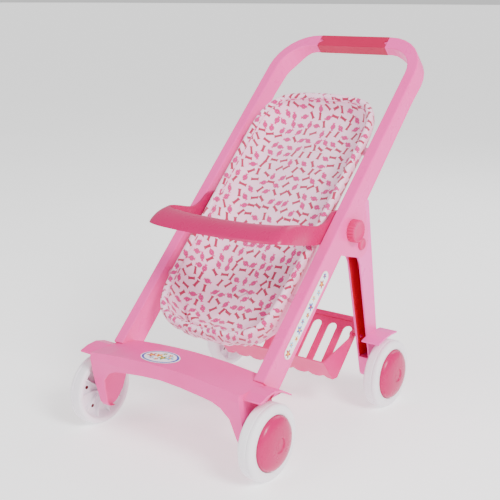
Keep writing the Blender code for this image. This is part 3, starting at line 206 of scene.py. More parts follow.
@dataclass(frozen=True)
class MouldedPlastic:
    """Injection-moulded plastic: even colour, faint flow marks and a fine skin."""

    name: str
    colour: Colour
    flow: Colour
    roughness: float = 0.32
    coat: float = 0.25
    skin: float = 0.05

    def build(self) -> bpy.types.Material:
        """Make the material."""
        graph = Graph(self.name)
        where = graph.place()
        marks = graph.noise(where, 14.0, 3.0)
        share = graph.between(marks, 0.35, 0.7, 0.0, 0.8)
        graph.feed(graph.shader.inputs["Base Color"], graph.mix(share, self.colour, self.flow))
        fine = graph.noise(where, 900.0, 2.0)
        rough = graph.between(graph.noise(where, 45.0, 4.0), 0.3, 0.75, self.roughness - 0.05,
                              self.roughness + 0.07)
        graph.feed(graph.shader.inputs["Roughness"], rough)
        graph.shader.inputs["Coat Weight"].default_value = self.coat
        graph.shader.inputs["Coat Roughness"].default_value = 0.18
        graph.shader.inputs["IOR"].default_value = 1.49
        graph.shader.inputs["Specular IOR Level"].default_value = 0.3
        graph.bump(fine, self.skin, 0.0004)
        return graph.material


@dataclass(frozen=True)
class ZincSteel:
    """Plated steel with faint turning marks."""

    name: str = "zinc_steel"
    colour: Colour = (0.62, 0.63, 0.66)

    def build(self) -> bpy.types.Material:
        """Make the material."""
        graph = Graph(self.name)
        where = graph.place()
        stain = graph.between(graph.noise(where, 220.0, 4.0), 0.3, 0.7, 0.0, 1.0)
        graph.feed(graph.shader.inputs["Base Color"], graph.mix(stain, self.colour, (0.45, 0.46, 0.5)))
        graph.feed(graph.shader.inputs["Roughness"], graph.between(stain, 0.0, 1.0, 0.22, 0.4))
        graph.shader.inputs["Metallic"].default_value = 1.0
        graph.bump(graph.noise(where, 1500.0, 2.0), 0.08, 0.0003)
        return graph.material


@dataclass(frozen=True)
class PrintedCotton:
    """Woven cotton printed with scattered sweets and little bows."""

    name: str
    ground: Colour
    shade: Colour
    sweet: Colour
    outline: Colour
    bow: Colour
    cell: float = 14.2 * MM

    def build(self) -> bpy.types.Material:
        """Make the material from the piece's flat cloth coordinates."""
        graph = Graph(self.name)
        cloth = graph.node("ShaderNodeTexCoord").outputs["UV"]
        cells = graph.node("ShaderNodeTexVoronoi", voronoi_dimensions="2D", feature="F1")
        graph.feed(cells.inputs["Vector"], cloth)
        cells.inputs["Scale"].default_value = 1.0 / self.cell
        cells.inputs["Randomness"].default_value = 0.42
        local = graph.node("ShaderNodeVectorMath", operation="SUBTRACT")
        graph.feed(local.inputs[0], cloth)
        graph.feed(local.inputs[1], cells.outputs["Position"])
        chance = graph.node("ShaderNodeSeparateColor")
        graph.feed(chance.inputs[0], cells.outputs["Color"])
        turn = graph.node("ShaderNodeVectorRotate", rotation_type="Z_AXIS")
        graph.feed(turn.inputs["Vector"], local.outputs[0])
        graph.feed(turn.inputs["Angle"], graph.math("MULTIPLY", chance.outputs[0], 2.0 * pi))
        axes = graph.node("ShaderNodeSeparateXYZ")
        graph.feed(axes.inputs[0], turn.outputs[0])
        along = graph.math("ABSOLUTE", axes.outputs[0])
        across = graph.math("ABSOLUTE", axes.outputs[1])
        bow, sweet, line = self.motifs(graph, along, across)
        picks_bow = graph.math("GREATER_THAN", chance.outputs[1], 0.48)
        picks_sweet = graph.math("SUBTRACT", 1.0, picks_bow)
        wear = graph.between(graph.noise(cloth, 38.0, 3.0), 0.3, 0.7, 0.0, 1.0)
        base = graph.mix(wear, self.ground, self.shade)
        printed = graph.mix(graph.math("MULTIPLY", bow, picks_bow), base, self.bow)
        printed = graph.mix(graph.math("MULTIPLY", sweet, picks_sweet), printed, self.sweet)
        printed = graph.mix(graph.math("MULTIPLY", line, picks_sweet), printed, self.outline)
        graph.feed(graph.shader.inputs["Base Color"], printed)
        graph.shader.inputs["Roughness"].default_value = 0.82
        graph.shader.inputs["Sheen Weight"].default_value = 0.35
        graph.shader.inputs["Sheen Roughness"].default_value = 0.5
        graph.bump(self.weave(graph, cloth), 0.35, 0.0006)
        return graph.material

    def motifs(self, graph: Graph, along: bpy.types.NodeSocket,
               across: bpy.types.NodeSocket) -> tuple[bpy.types.NodeSocket, ...]:
        """Masks of the bow, the sweet's body with its wrapper, and the sweet's outline.

        Args:
            graph: The material's graph.
            along: Distance from the motif's middle along it.
            across: Distance from the motif's middle across it.

        Returns:
            Three 0..1 masks.
        """
        flare = graph.between(along, 3.4 * MM, 6.2 * MM, 2.0 * MM, 3.0 * MM)
        bow = graph.math("MULTIPLY", graph.math("LESS_THAN", across, flare),
                         graph.math("LESS_THAN", along, 6.2 * MM))
        squashed = graph.math("MULTIPLY", across, 1.15)
        reach = graph.math("SQRT", graph.math("ADD", graph.math("MULTIPLY", along, along),
                                              graph.math("MULTIPLY", squashed, squashed)))
        body = graph.math("LESS_THAN", reach, 4.6 * MM)
        heart = graph.math("LESS_THAN", reach, 3.8 * MM)
        swirl = graph.math("MULTIPLY", graph.math("LESS_THAN", reach, 2.3 * MM),
                           graph.math("GREATER_THAN", reach, 1.5 * MM))
        wrapper_edge = graph.between(along, 4.0 * MM, 7.0 * MM, 0.7 * MM, 2.9 * MM)
        wrapper = graph.math("MULTIPLY", graph.math("LESS_THAN", across, wrapper_edge),
                             graph.math("LESS_THAN", along, 7.0 * MM))
        wrapper = graph.math("MULTIPLY", wrapper, graph.math("GREATER_THAN", along, 4.0 * MM))
        sweet = graph.math("MAXIMUM", body, wrapper)
        line = graph.math("ADD", graph.math("SUBTRACT", body, heart), swirl)
        return bow, sweet, line

    def weave(self, graph: Graph, cloth: bpy.types.NodeSocket) -> bpy.types.NodeSocket:
        """Height of a plain weave's threads."""
        heights = []
        for direction in ("X", "Y"):
            thread = graph.node("ShaderNodeTexWave", wave_type="BANDS", bands_direction=direction)
            graph.feed(thread.inputs["Vector"], cloth)
            thread.inputs["Scale"].default_value = 330.0
            thread.inputs["Distortion"].default_value = 0.6
            heights.append(thread.outputs["Fac"])
        crossing = graph.math("MULTIPLY", heights[0], heights[1])
        slubs = graph.noise(cloth, 700.0, 2.0)
        return graph.math("ADD", crossing, graph.math("MULTIPLY", slubs, 0.6))


@dataclass(frozen=True)
class Vinyl:
    """Printed sticker vinyl with a soft sheen."""

    name: str
    colour: Colour
    tint: Colour

    def build(self) -> bpy.types.Material:
        """Make the material."""
        graph = Graph(self.name)
        where = graph.place()
        share = graph.between(graph.noise(where, 160.0, 2.0), 0.35, 0.65, 0.0, 1.0)
        graph.feed(graph.shader.inputs["Base Color"], graph.mix(share, self.colour, self.tint))
        graph.shader.inputs["Roughness"].default_value = 0.38
        graph.bump(graph.noise(where, 700.0, 1.0), 0.04, 0.0002)
        return graph.material


class Shade(Enum):
    """The named finishes of the stroller."""

    FRAME = MouldedPlastic("frame_pink", dye(251, 130, 200), dye(249, 122, 195), 0.30, 0.06)
    CROSSBAR = MouldedPlastic("crossbar_pink", dye(248, 122, 194), dye(245, 114, 188), 0.34, 0.05)
    REAR_LEG = MouldedPlastic("rear_leg_pink", dye(251, 140, 210), dye(249, 130, 204), 0.32, 0.05)
    BASKET = MouldedPlastic("basket_pink", dye(238, 80, 168), dye(234, 70, 160), 0.34, 0.05)
    # painted shade: deep red standing in for the shadow and reflected pink inside the rear legs' channels
    CHANNEL_SHADE = MouldedPlastic("channel_painted_shade", dye(228, 4, 96), dye(214, 2, 86), 0.38, 0.05)
    MAGENTA = MouldedPlastic("deep_magenta", dye(206, 0, 122, 1.35), dye(200, 0, 116, 1.35), 0.28, 0.04)
    GRIP = MouldedPlastic("grip_magenta", dye(206, 0, 106, 1.4), dye(198, 0, 100, 1.4), 0.45, 0.02, 0.2)
    KNOB = MouldedPlastic("knob_pink", dye(228, 34, 150, 1.6), dye(220, 28, 142, 1.6), 0.36, 0.04)
    WHEEL = MouldedPlastic("wheel_white", dye(250, 247, 250), dye(246, 241, 247), 0.45, 0.05, 0.12)
    SHELL = MouldedPlastic("shell_pink", dye(250, 196, 226), dye(246, 186, 218), 0.42, 0.1)
    # painted shade: dark red-black for the shadow inside the wheels' moulding holes
    SHADOW = MouldedPlastic("painted_hole_shade", dye(140, 20, 60), dye(120, 16, 50), 0.6, 0.0)
    STEEL = ZincSteel()
    COTTON = PrintedCotton("printed_cotton", dye(255, 224, 240, 1.3), dye(255, 212, 234, 1.3),
                           dye(240, 96, 184), dye(200, 30, 124), dye(208, 48, 126))
    PIPING = PrintedCotton("piping_cotton", dye(255, 210, 232, 1.3), dye(252, 196, 224, 1.3),
                           dye(240, 96, 184), dye(200, 30, 124), dye(208, 48, 126))
    CREAM = Vinyl("vinyl_cream", dye(252, 238, 226), dye(252, 228, 228))
    WHITE = Vinyl("vinyl_white", dye(250, 250, 250), dye(242, 244, 248))
    BLUE = Vinyl("vinyl_blue", dye(20, 110, 200), dye(30, 124, 208))
    SKY = Vinyl("vinyl_sky", dye(110, 190, 230), dye(130, 200, 236))
    RED = Vinyl("vinyl_red", dye(214, 26, 66), dye(200, 20, 56))
    YELLOW = Vinyl("vinyl_yellow", dye(252, 206, 50), dye(248, 196, 40))
    GREEN = Vinyl("vinyl_green", dye(90, 184, 60), dye(80, 172, 50))


class Wardrobe:
    """Builds each finish once and hands it out."""

    def __init__(self) -> None:
        """Start with nothing built."""
        self.built: dict[Shade, bpy.types.Material] = {}

    def get(self, shade: Shade) -> bpy.types.Material:
        """The material of a named finish."""
        if shade not in self.built:
            self.built[shade] = shade.value.build()
        return self.built[shade]


WARDROBE = Wardrobe()


# ---------------------------------------------------------------- mesh helpers

def add_piece(name: str, bm: bmesh.types.BMesh, shades: Sequence[Shade],
              sharp: float = 40.0) -> bpy.types.Object:
    """Turn a bmesh into a shown piece.

    Args:
        name: The piece's name.
        bm: Its shape, which is freed.
        shades: Finishes of its material slots.
        sharp: Angle in degrees above which an edge stays sharp.

    Returns:
        The new object.
    """
    bmesh.ops.recalc_face_normals(bm, faces=bm.faces)
    mesh = bpy.data.meshes.new(name)
    bm.to_mesh(mesh)
    bm.free()
    for shade in shades:
        mesh.materials.append(WARDROBE.get(shade))
    mesh.shade_smooth()
    mesh.set_sharp_from_angle(angle=radians(sharp))
    piece = bpy.data.objects.new(name, mesh)
    bpy.context.scene.collection.objects.link(piece)
    return piece


def skin(bm: bmesh.types.BMesh, rings: Sequence[Ring], closed: bool = False, caps: bool = True,
         slot: int = 0) -> list[bmesh.types.BMFace]:
    """Faces over rings of points.

    Args:
        bm: The bmesh that gets them.
        rings: Rings with the same number of points.
        closed: Whether the last ring joins the first.
        caps: Whether open ends are closed.
        slot: Material slot of the faces.

    Returns:
        The new faces.
    """
    loops = [[bm.verts.new(point) for point in ring] for ring in rings]
    count = len(loops[0])
    faces = []
    pairs = list(zip(loops, loops[1:]))
    if closed:
        pairs.append((loops[-1], loops[0]))
    for first, second in pairs:
        for i in range(count):
            j = (i + 1) % count
            faces.append(bm.faces.new((first[i], first[j], second[j], second[i])))
    if caps and not closed:
        faces.append(bm.faces.new(loops[0]))
        faces.append(bm.faces.new(list(reversed(loops[-1]))))
    for face in faces:
        face.material_index = slot
    return faces


def turned(bm: bmesh.types.BMesh, profile: Sequence[tuple[float, float]], centre: Vector,
           side: int, sides: int = 96) -> None:
    """Turn a closed (radius, outward offset) profile about an X axis through the centre.

    Args:
        bm: The bmesh that gets the faces.
        profile: Section places; a radius of 0 closes on the axis.
        centre: A point on the axis that the offsets start from.
        side: 1 when the offsets run to +X, or -1.
        sides: Steps round the axis.
    """
    rows = []
    for radius, offset in profile:
        x = centre.x + side * offset
        if radius <= 0.0:
            rows.append([bm.verts.new((x, centre.y, centre.z))] * sides)
            continue
        rows.append([bm.verts.new((x, centre.y + radius * cos(angle), centre.z + radius * sin(angle)))
                     for angle in turns(sides)])
    pairs = list(zip(rows, rows[1:]))
    if profile[0][0] > 0.0:
        pairs.append((rows[-1], rows[0]))
    for first, second in pairs:
        for i in range(sides):
            j = (i + 1) % sides
            bm.faces.new(list(dict.fromkeys((first[i], first[j], second[j], second[i]))))


def fillet(places: Sequence[tuple[float, float, float]]) -> list[tuple[float, float]]:
    """Round the corners of a closed profile.

    Args:
        places: Corners in mm, each with the radius that it is rounded to.

    Returns:
        The rounded profile's places in metres.
    """
    result = []
    for i, (a, b, radius) in enumerate(places):
        here = Vector((a, b))
        back = Vector(places[i - 1][:2]) - here
        ahead = Vector(places[(i + 1) % len(places)][:2]) - here
        reach = min(radius, back.length * CORNER_SHARE, ahead.length * CORNER_SHARE)
        start = here + back.normalized() * reach
        end = here + ahead.normalized() * reach
        for t in shares(CORNER_STEPS):
            point = start * (1 - t) ** 2 + here * 2 * t * (1 - t) + end * t * t
            result.append((point.x * MM, point.y * MM))
    return result


def smooth_path(points: Sequence[Vector], steps: int) -> list[Vector]:
    """Catmull-Rom points through a list of places."""
    padded = [2.0 * points[0] - points[1], *points, 2.0 * points[-1] - points[-2]]
    path = []
    for i in range(1, len(padded) - 2):
        before, start, end, after = padded[i - 1:i + 3]
        for step in range(steps):
            t = step / steps
            path.append(0.5 * (2.0 * start + (end - before) * t
                               + (2.0 * before - 5.0 * start + 4.0 * end - after) * t * t
                               + (3.0 * start - before - 3.0 * end + after) * t ** 3))
    path.append(points[-1])
    return path


def soften(node: str, width: float) -> None:
    """Round a carried-over node's sharp edges with modifiers, leaving its mesh alone."""
    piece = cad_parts[node]
    weld = piece.modifiers.new("join_corners", "WELD")
    weld.merge_threshold = WELD_REACH
    bevel = piece.modifiers.new("moulded_edges", "BEVEL")
    bevel.width = width
    bevel.segments = BEVEL_STEPS
    bevel.limit_method = "ANGLE"
    bevel.angle_limit = BEVEL_ANGLE
    bevel.harden_normals = True


def dress(node: str, shade: Shade) -> None:
    """Give a carried-over node its finish."""
    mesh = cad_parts[node].data
    mesh.materials.clear()
    mesh.materials.append(WARDROBE.get(shade))


def finish_piece(piece: bpy.types.Object, body: str, nodes: Iterable[str] = ()) -> None:
    """Put a piece on its body, in place of the nodes it stands for."""
    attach(piece, body)
    names = list(nodes)
    if names:
        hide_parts(*names)
    LOG.info("%s rides on %s", piece.name, body)


# ---------------------------------------------------------------- wheels

@dataclass
class Wheel:
    """A white wheel with a grooved tread, its domed cap and its ribbed inner dish."""

    end: str
    label: str
    side: int
    radius: float = 50.0 * MM
    width: float = 21.7 * MM
    cap_radius: float = 36.2 * MM
    cap_height: float = 15.7 * MM
    disc_radius: float = 9.7 * MM
    web: float = 11.9 * MM
    hub_proud: float = 0.5 * MM
    ribs: int = 10

    @property
    def name(self) -> str:
        """End and side of the stroller."""
        return f"{self.end}_{self.label}"

    @property
    def centre(self) -> Vector:
        """Middle of the wheel's inner face, on its axle."""
        node = f"wheel_{self.name}"
        middle = middle_of(node)
        inner, _ = faces_of(node, self.side)
        return Vector((inner + self.side * self.hub_proud, middle.y, middle.z))

    def build(self) -> None:
        """Make and dress the wheel, its ribs and its cap."""
        body = f"wheel_{self.name}"
        finish_piece(self.tyre(), body, [f"wheel_{self.name}"])
        # painted shade: dark plugs stand for the shadow in the dish's holes
        finish_piece(self.holes(), body)
        finish_piece(self.cap(), body, [f"hub_cap_{self.name}"])

    def tyre(self) -> bpy.types.Object:
        """The wheel with its hub and ribs."""
        outer = self.radius / MM
        wide = self.width / MM
        web = self.web / MM
        rim = (self.cap_radius + 0.4 * MM) / MM
        groove = self.width * 0.60 / MM
        profile = fillet([
            (4.4, -0.5, 0.4), (9.0, -0.5, 0.8), (9.4, web - 2.2, 1.5), (38.0, web, 3.0),
            (41.3, 1.6, 1.2), (43.0, 0.0, 1.0), (47.6, 0.0, 1.6), (outer - 0.2, 2.2, 2.2),
            (outer, 6.0, 2.0), (outer, groove, 0.3), (outer - 0.8, groove + 0.5, 0.3),
            (outer - 0.8, groove + 1.3, 0.3), (outer, groove + 1.8, 0.3), (outer, wide - 3.4, 2.4),
            (outer - 2.6, wide - 0.3, 2.0), (rim + 3.5, wide, 2.0), (rim + 0.2, wide - 1.0, 0.8),
            (rim, wide - 3.0, 0.6), (rim, web + 2.9, 0.8), (4.4, web + 2.4, 0.3)])
        bm = bmesh.new()
        turned(bm, profile, self.centre, self.side)
        for angle in turns(self.ribs):
            self.rib(bm, angle)
        return add_piece(f"tyre_{self.name}", bm, [Shade.WHEEL])

    def rib(self, bm: bmesh.types.BMesh, angle: float) -> None:
        """One radial rib of the inner dish."""
        radial = Vector((0.0, cos(angle), sin(angle)))
        across = Vector((0.0, -sin(angle), cos(angle))) * 0.8 * MM
        axis = Vector((self.side, 0.0, 0.0))
        rings = []
        for reach, top in ((8.6 * MM, 5.2 * MM), (22.0 * MM, 6.2 * MM), (39.6 * MM, 4.2 * MM)):
            base = self.centre + radial * reach
            floor = axis * (self.web + 0.8 * MM)
            rings.append([base + axis * top - across, base + axis * top + across,
                          base + floor + across, base + floor - across])
        skin(bm, rings)

    def holes(self) -> bpy.types.Object:
        """Dark plugs between the ribs: painted shade for the shadow inside small moulding holes."""
        bm = bmesh.new()
        for i in range(0, self.ribs, 2):
            angle = 2.0 * pi * (i + 0.5) / self.ribs
            place = self.centre + Vector((0.0, cos(angle), sin(angle))) * 27.0 * MM
            place.x += self.side * (self.web - 1.6 * MM)
            profile = [(0.0, 0.0), (2.2 * MM, 0.0), (2.6 * MM, 0.4 * MM), (2.6 * MM, 2.0 * MM),
                       (0.0, 2.0 * MM)]
            turned(bm, profile, place, self.side, 20)
        return add_piece(f"dish_hole_shade_{self.name}", bm, [Shade.SHADOW])

    def cap(self) -> bpy.types.Object:
        """The domed cap with its sunk middle disc."""
        rim = self.width - 1.0 * MM
        crown = rim + self.cap_height - 5.5 * MM
        disc = self.disc_radius
        dome = []
        for share in shares(14):
            radius = lerp(self.cap_radius, disc + 0.9 * MM, share)
            flat = (radius - disc) / (self.cap_radius - disc)
            dome.append((radius, rim + (crown - rim) * sqrt(max(0.0, 1.0 - flat * flat))))
        seat = self.web + 3.1 * MM
        profile = [(0.0, crown - 0.9 * MM), (disc * 0.55, crown - 1.0 * MM),
                   (disc - 1.2 * MM, crown - 1.5 * MM), (disc - 0.5 * MM, crown - 1.5 * MM),
                   (disc, crown - 1.1 * MM), (disc + 0.2 * MM, crown - 0.3 * MM),
                   (disc + 0.5 * MM, crown - 0.02 * MM)]
        profile += list(reversed(dome))
        profile += [(self.cap_radius, rim - 2.0 * MM), (self.cap_radius, seat),
                    (self.cap_radius - 2.0 * MM, seat)]
        inner = [(radius - 2.0 * MM, z - 1.4 * MM) for radius, z in dome if radius > disc + 5.0 * MM]
        profile += inner + [(disc, crown - 3.2 * MM), (0.0, crown - 3.2 * MM)]
        bm = bmesh.new()
        turned(bm, profile, self.centre, self.side)
        return add_piece(f"dome_cap_{self.name}", bm, [Shade.MAGENTA], 50.0)


# ---------------------------------------------------------------- knobs and pins

@dataclass
class Knob:
    """A fluted hand knob with its stud."""

    label: str
    side: int
    radius: float = 16.0 * MM
    height: float = 11.0 * MM
    flutes: int = 22
    depth: float = 1.2 * MM
    stud: float = 3.8 * MM

    def build(self) -> None:
        """Make and dress the knob."""
        node = f"knob_{self.label}"
        middle = middle_of(node)
        tail, face = faces_of(node, self.side)
        bm = bmesh.new()
        rows = ((1.0, self.height), (1.0, 2.0 * MM), (0.99, 1.0 * MM), (0.96, 0.35 * MM),
                (0.91, 0.0), (0.80, 0.0), (0.76, 0.5 * MM), (0.40, 0.7 * MM), (0.05, 0.7 * MM))
        rings = []
        for share, sink in rows:
            ring = []
            for angle in turns(self.flutes * 8):
                wave = 0.5 - 0.5 * cos(self.flutes * angle)
                radius = self.radius - self.depth * wave ** 2
                reach = radius * share if share > 0.9 else self.radius * share
                ring.append(Vector((face - self.side * sink, middle.y + reach * cos(angle),
                                    middle.z + reach * sin(angle))))
            rings.append(ring)
        skin(bm, rings)
        length = abs(face - tail) - self.height + 1.0 * MM
        profile = [(0.0, 0.0), (self.stud - 0.5 * MM, 0.0), (self.stud, 0.5 * MM), (self.stud, length),
                   (0.0, length)]
        turned(bm, profile, Vector((tail, middle.y, middle.z)), self.side, 40)
        piece = add_piece(f"fluted_knob_{self.label}", bm, [Shade.KNOB], 50.0)
        finish_piece(piece, node, [node])


@dataclass
class PivotPin:
    """The headed pin that a rear leg swings on."""

    label: str
    side: int
    head: float = 8.5 * MM
    shank: float = 4.0 * MM
    cap: float = 3.2 * MM

    def build(self) -> None:
        """Make and dress the pin."""
        node = f"pivot_pin_{self.label}"
        middle = middle_of(node)
        tail, face = faces_of(node, self.side)
        length = abs(face - tail)
        profile = [(0.0, 0.5 * MM), (4.6 * MM, 0.5 * MM), (5.4 * MM, 0.1 * MM), (6.2 * MM, 0.0),
                   (7.4 * MM, 0.15 * MM), (self.head - 0.3 * MM, 0.7 * MM), (self.head, 1.5 * MM),
                   (self.head, self.cap), (self.shank, self.cap), (self.shank, length - 0.6 * MM),
                   (self.shank - 0.6 * MM, length), (0.0, length)]
        bm = bmesh.new()
        turned(bm, profile, Vector((face, middle.y, middle.z)), -self.side, 64)
        piece = add_piece(f"pivot_rivet_{self.label}", bm, [Shade.KNOB], 50.0)
        finish_piece(piece, "frame", [node])


# ---------------------------------------------------------------- seat

@dataclass
class SeatCover:
    """The padded cotton cover: lined bucket, rolled rim and gathered hem."""

    half_width: float = 100.0 * MM
    top: float = 466.0 * MM
    foot: float = 46.0 * MM
    rim_out: float = -3.0 * MM
    wall: float = 2.5 * MM
    depth_back: float = 36.0 * MM
    depth_pan: float = 56.0 * MM
    sides: int = 260
    pad: float = 4.8 * MM
    stand_off: float = 2.6 * MM
    cloth: float = 1.3 * MM
    cord: float = 0.9 * MM
    cord_sides: int = 8

    def half_outline(self) -> list[Vector]:
        """(x, up) places of the rim's right half, from the top down."""
        wide = self.half_width
        top = self.top
        foot = self.foot
        places = ((0.0, top), (wide * 0.44, top - 2.0 * MM), (wide * 0.76, top - 11.0 * MM),
                  (wide * 0.93, top - 32.0 * MM), (wide * 0.995, top - 62.0 * MM),
                  (wide, top - 110.0 * MM), (wide * 0.995, top - 180.0 * MM),
                  (wide * 0.99, foot + 180.0 * MM), (wide * 0.985, foot + 110.0 * MM),
                  (wide * 0.965, foot + 62.0 * MM), (wide * 0.89, foot + 32.0 * MM),
                  (wide * 0.70, foot + 12.0 * MM), (wide * 0.38, foot + 3.0 * MM), (0.0, foot))
        return [Vector((x, up)) for x, up in places]

    def rim(self) -> list[Vector]:
        """Evenly spaced (x, up) places round the rim, from the top clockwise."""
        path = smooth_path(self.half_outline(), 16)
        runs = [0.0]
        for first, second in zip(path, path[1:]):
            runs.append(runs[-1] + (second - first).length)
        half = self.sides // 2
        right = []
        index = 1
        for i in range(half + 1):
            target = runs[-1] * i / half
            while index < len(path) - 1 and runs[index] < target:
                index += 1
            share = (target - runs[index - 1]) / (runs[index] - runs[index - 1])
            right.append(path[index - 1].lerp(path[index], min(1.0, share)))
        left = [Vector((-p.x, p.y)) for p in reversed(right[1:-1])]
        return right + left

    def depth(self, up: float) -> float:
        """Depth of the bucket below its rim."""
        middle = (self.foot + self.top) / 2.0 + 50.0 * MM
        pan = self.foot + 110.0 * MM
        return lerp(self.depth_back, self.depth_pan, smooth((middle - up) / (middle - pan)))

    def at(self, place: Vector, inset: float, sink: float) -> Vector:
        """A point moved in from the rim and sunk below it."""
        low = self.foot + self.half_width
        high = self.top - self.half_width
        towards = Vector((-place.x, min(high, max(low, place.y)) - place.y)).normalized()
        return on_frame(place.x + towards.x * inset, place.y + towards.y * inset, self.rim_out - sink)

    def footness(self, place: Vector) -> float:
        """1 at the foot end of the rim, 0 along the sides and top."""
        return smooth((self.foot + 75.0 * MM - place.y) / (60.0 * MM))

    def pleat(self, run: float, footness: float) -> float:
        """Gathering of the hem, in metres, at a place along it."""
        fine = sin(run * 560.0 + 2.2 * noise.noise(Vector((run * 24.0, 1.7, 0.0))))
        broad = noise.noise(Vector((run * 55.0, 4.1, 2.0)))
        return (0.30 * fine + 0.65 * broad) * MM * lerp(0.6, 3.6, footness)

    def wrinkle(self, point: Vector, footness: float) -> float:
        """Slack of the lining, in metres, at a point."""
        soft = noise.noise(point * 16.0) * 1.6 + noise.noise(point * 42.0 + Vector((3.0, 1.0, 7.0))) * 0.6
        folds = noise.noise(Vector((point.x * 60.0, point.y * 30.0, point.z * 30.0))) * 4.2 * footness
        return (soft + folds) * MM

    def crease(self, place: Vector, inset: float) -> float:
        """The deep fold behind the rolled hem at the foot, deepest to the left, in metres."""
        side = smooth((60.0 * MM - place.x) / (120.0 * MM))
        wander = 3.0 * noise.noise(Vector((place.x * 30.0, place.y * 30.0, 5.0)))
        groove = max(0.0, 1.0 - ((inset - 8.0 - wander) / 4.5) ** 2)
        bulge = max(0.0, 1.0 - ((inset - 19.0 - wander) / 9.0) ** 2)
        return self.footness(place) * (bulge * 8.0 - groove * 7.0) * (0.35 + 0.65 * side) * MM

    def build(self) -> None:
        """Make and dress the cover and its piping."""
        finish_piece(self.lining(), "frame", ["seat_cover"])
        finish_piece(self.piping(), "frame")

    def lining(self) -> bpy.types.Object:
        """The cover's cloth, from its hem outside the shell to the bottom of the bucket."""
        rim = self.rim()
        runs = self.run_lengths(rim)
        gap = self.wall + self.pad
        walls = ((0.0, 0.0), (0.6, 0.10), (1.6, 0.22), (3.0, 0.36), (4.2, 0.44), (5.4, 0.52),
                 (7.0, 0.60), (9.0, 0.68), (11.4, 0.745), (14.0, 0.80), (17.0, 0.845), (20.0, 0.88),
                 (24.0, 0.915), (28.0, 0.94), (33.0, 0.965), (38.0, 0.985),
                 (43.0, 0.995), (48.0, 1.0), (54.0, 1.0), (60.0, 1.0), (67.0, 1.0), (74.0, 1.0),
                 (81.0, 1.0), (88.0, 1.0))
        rows: list[list[Vector]] = []
        for drop in (1.0, 0.72, 0.42, 0.16):
            rows.append([self.hem_point(place, run, drop) for place, run in zip(rim, runs)])
        for angle in (160.0, 120.0, 85.0, 50.0, 20.0):
            rows.append([self.roll_point(place, run, radians(angle)) for place, run in zip(rim, runs)])
        for inset, share in walls:
            row = []
            for place in rim:
                point = self.at(place, inset * MM + gap, share * (self.depth(place.y) - gap) + 1.0 * MM)
                limit = self.footness(place)
                lift = self.wrinkle(point, limit * (1.0 - share * 0.4)) * smooth(inset / 6.0)
                row.append(point + OUT * (lift + self.crease(place, inset)))
            rows.append(row)
        bm = bmesh.new()
        uv = bm.loops.layers.uv.new("cloth")
        faces = skin(bm, rows, caps=False)
        self.close_bottom(bm, len(rim))
        self.lay_flat(bm, uv, self.flat_pattern(rim, rows))
        piece = add_piece("padded_cover", bm, [Shade.COTTON], 180.0)
        solid = piece.modifiers.new("cloth", "SOLIDIFY")
        solid.thickness = self.cloth
        solid.offset = -1.0
        LOG.info("cover has %d cloth faces", len(faces))
        return piece

    def run_lengths(self, rim: Sequence[Vector]) -> list[float]:
        """Distance round the rim at each of its places."""
        runs = [0.0]
        for first, second in zip(rim, rim[1:]):
            runs.append(runs[-1] + (second - first).length)
        return runs

    def hem_point(self, place: Vector, run: float, drop: float) -> Vector:
        """A point of the hem that hangs outside the shell."""
        foot = self.footness(place)
        depth = lerp(8.0 * MM, 30.0 * MM, foot)
        tuck = lerp(0.0, 5.0 * MM, foot) * drop * drop
        outward = self.stand_off + lerp(0.2, 1.8, foot) * MM * sin(pi * min(1.0, drop * 1.1))
        outward += self.pleat(run, foot) * (0.35 + 0.65 * drop)
        return self.at(place, tuck - outward, depth * drop)

    def roll_point(self, place: Vector, run: float, angle: float) -> Vector:
        """A point of the roll of cloth over the rim."""
        foot = self.footness(place)
        half = (self.stand_off + self.wall + self.pad) / 2.0
        middle = half - self.stand_off
        rise = lerp(4.6, 5.4, foot) * MM
        ripple = self.pleat(run, foot) * 0.5
        return self.at(place, middle + half * cos(angle), -(rise + ripple) * sin(angle))

    def close_bottom(self, bm: bmesh.types.BMesh, count: int) -> None:
        """Join the two halves of the last ring across the bucket's floor."""
        bm.verts.ensure_lookup_table()
        last = [bm.verts[len(bm.verts) - count + i] for i in range(count)]
        for i in range(count // 2):
            corners = list(dict.fromkeys((last[i], last[i + 1], last[(count - i - 1) % count],
                                          last[(count - i) % count])))
            if len(corners) > 2:
                bm.faces.new(corners)

    def flat_pattern(self, rim: Sequence[Vector], rows: Sequence[Sequence[Vector]]) -> list[Vector]:
        """Flat place of each cloth point, measured outwards along the cloth from the bucket's floor.

        Args:
            rim: Places round the rim.
            rows: The cloth's rows, from the hem to the floor.

        Returns:
            One (across, along) place in metres per point, row by row.
        """
        low = self.foot + self.half_width
        high = self.top - self.half_width
        outwards = [Vector((p.x, p.y - min(high, max(low, p.y)))).normalized() for p in rim]
        flat = [[Vector((p.x, (p - FRAME_FOOT).dot(UP))) for p in rows[-1]]]
        for outer, inner in zip(reversed(rows[:-1]), reversed(rows[1:])):
            before = flat[-1]
            flat.append([place + outwards[i] * (outer[i] - inner[i]).length
                         for i, place in enumerate(before)])
        return [place for row in reversed(flat) for place in row]

    def lay_flat(self, bm: bmesh.types.BMesh, uv: bmesh.types.BMLayerItem,
                 places: Sequence[Vector]) -> None:
        """Give each cloth point its flat coordinates in metres."""
        bm.verts.index_update()
        for face in bm.faces:
            for loop in face.loops:
                loop[uv].uv = places[loop.vert.index]

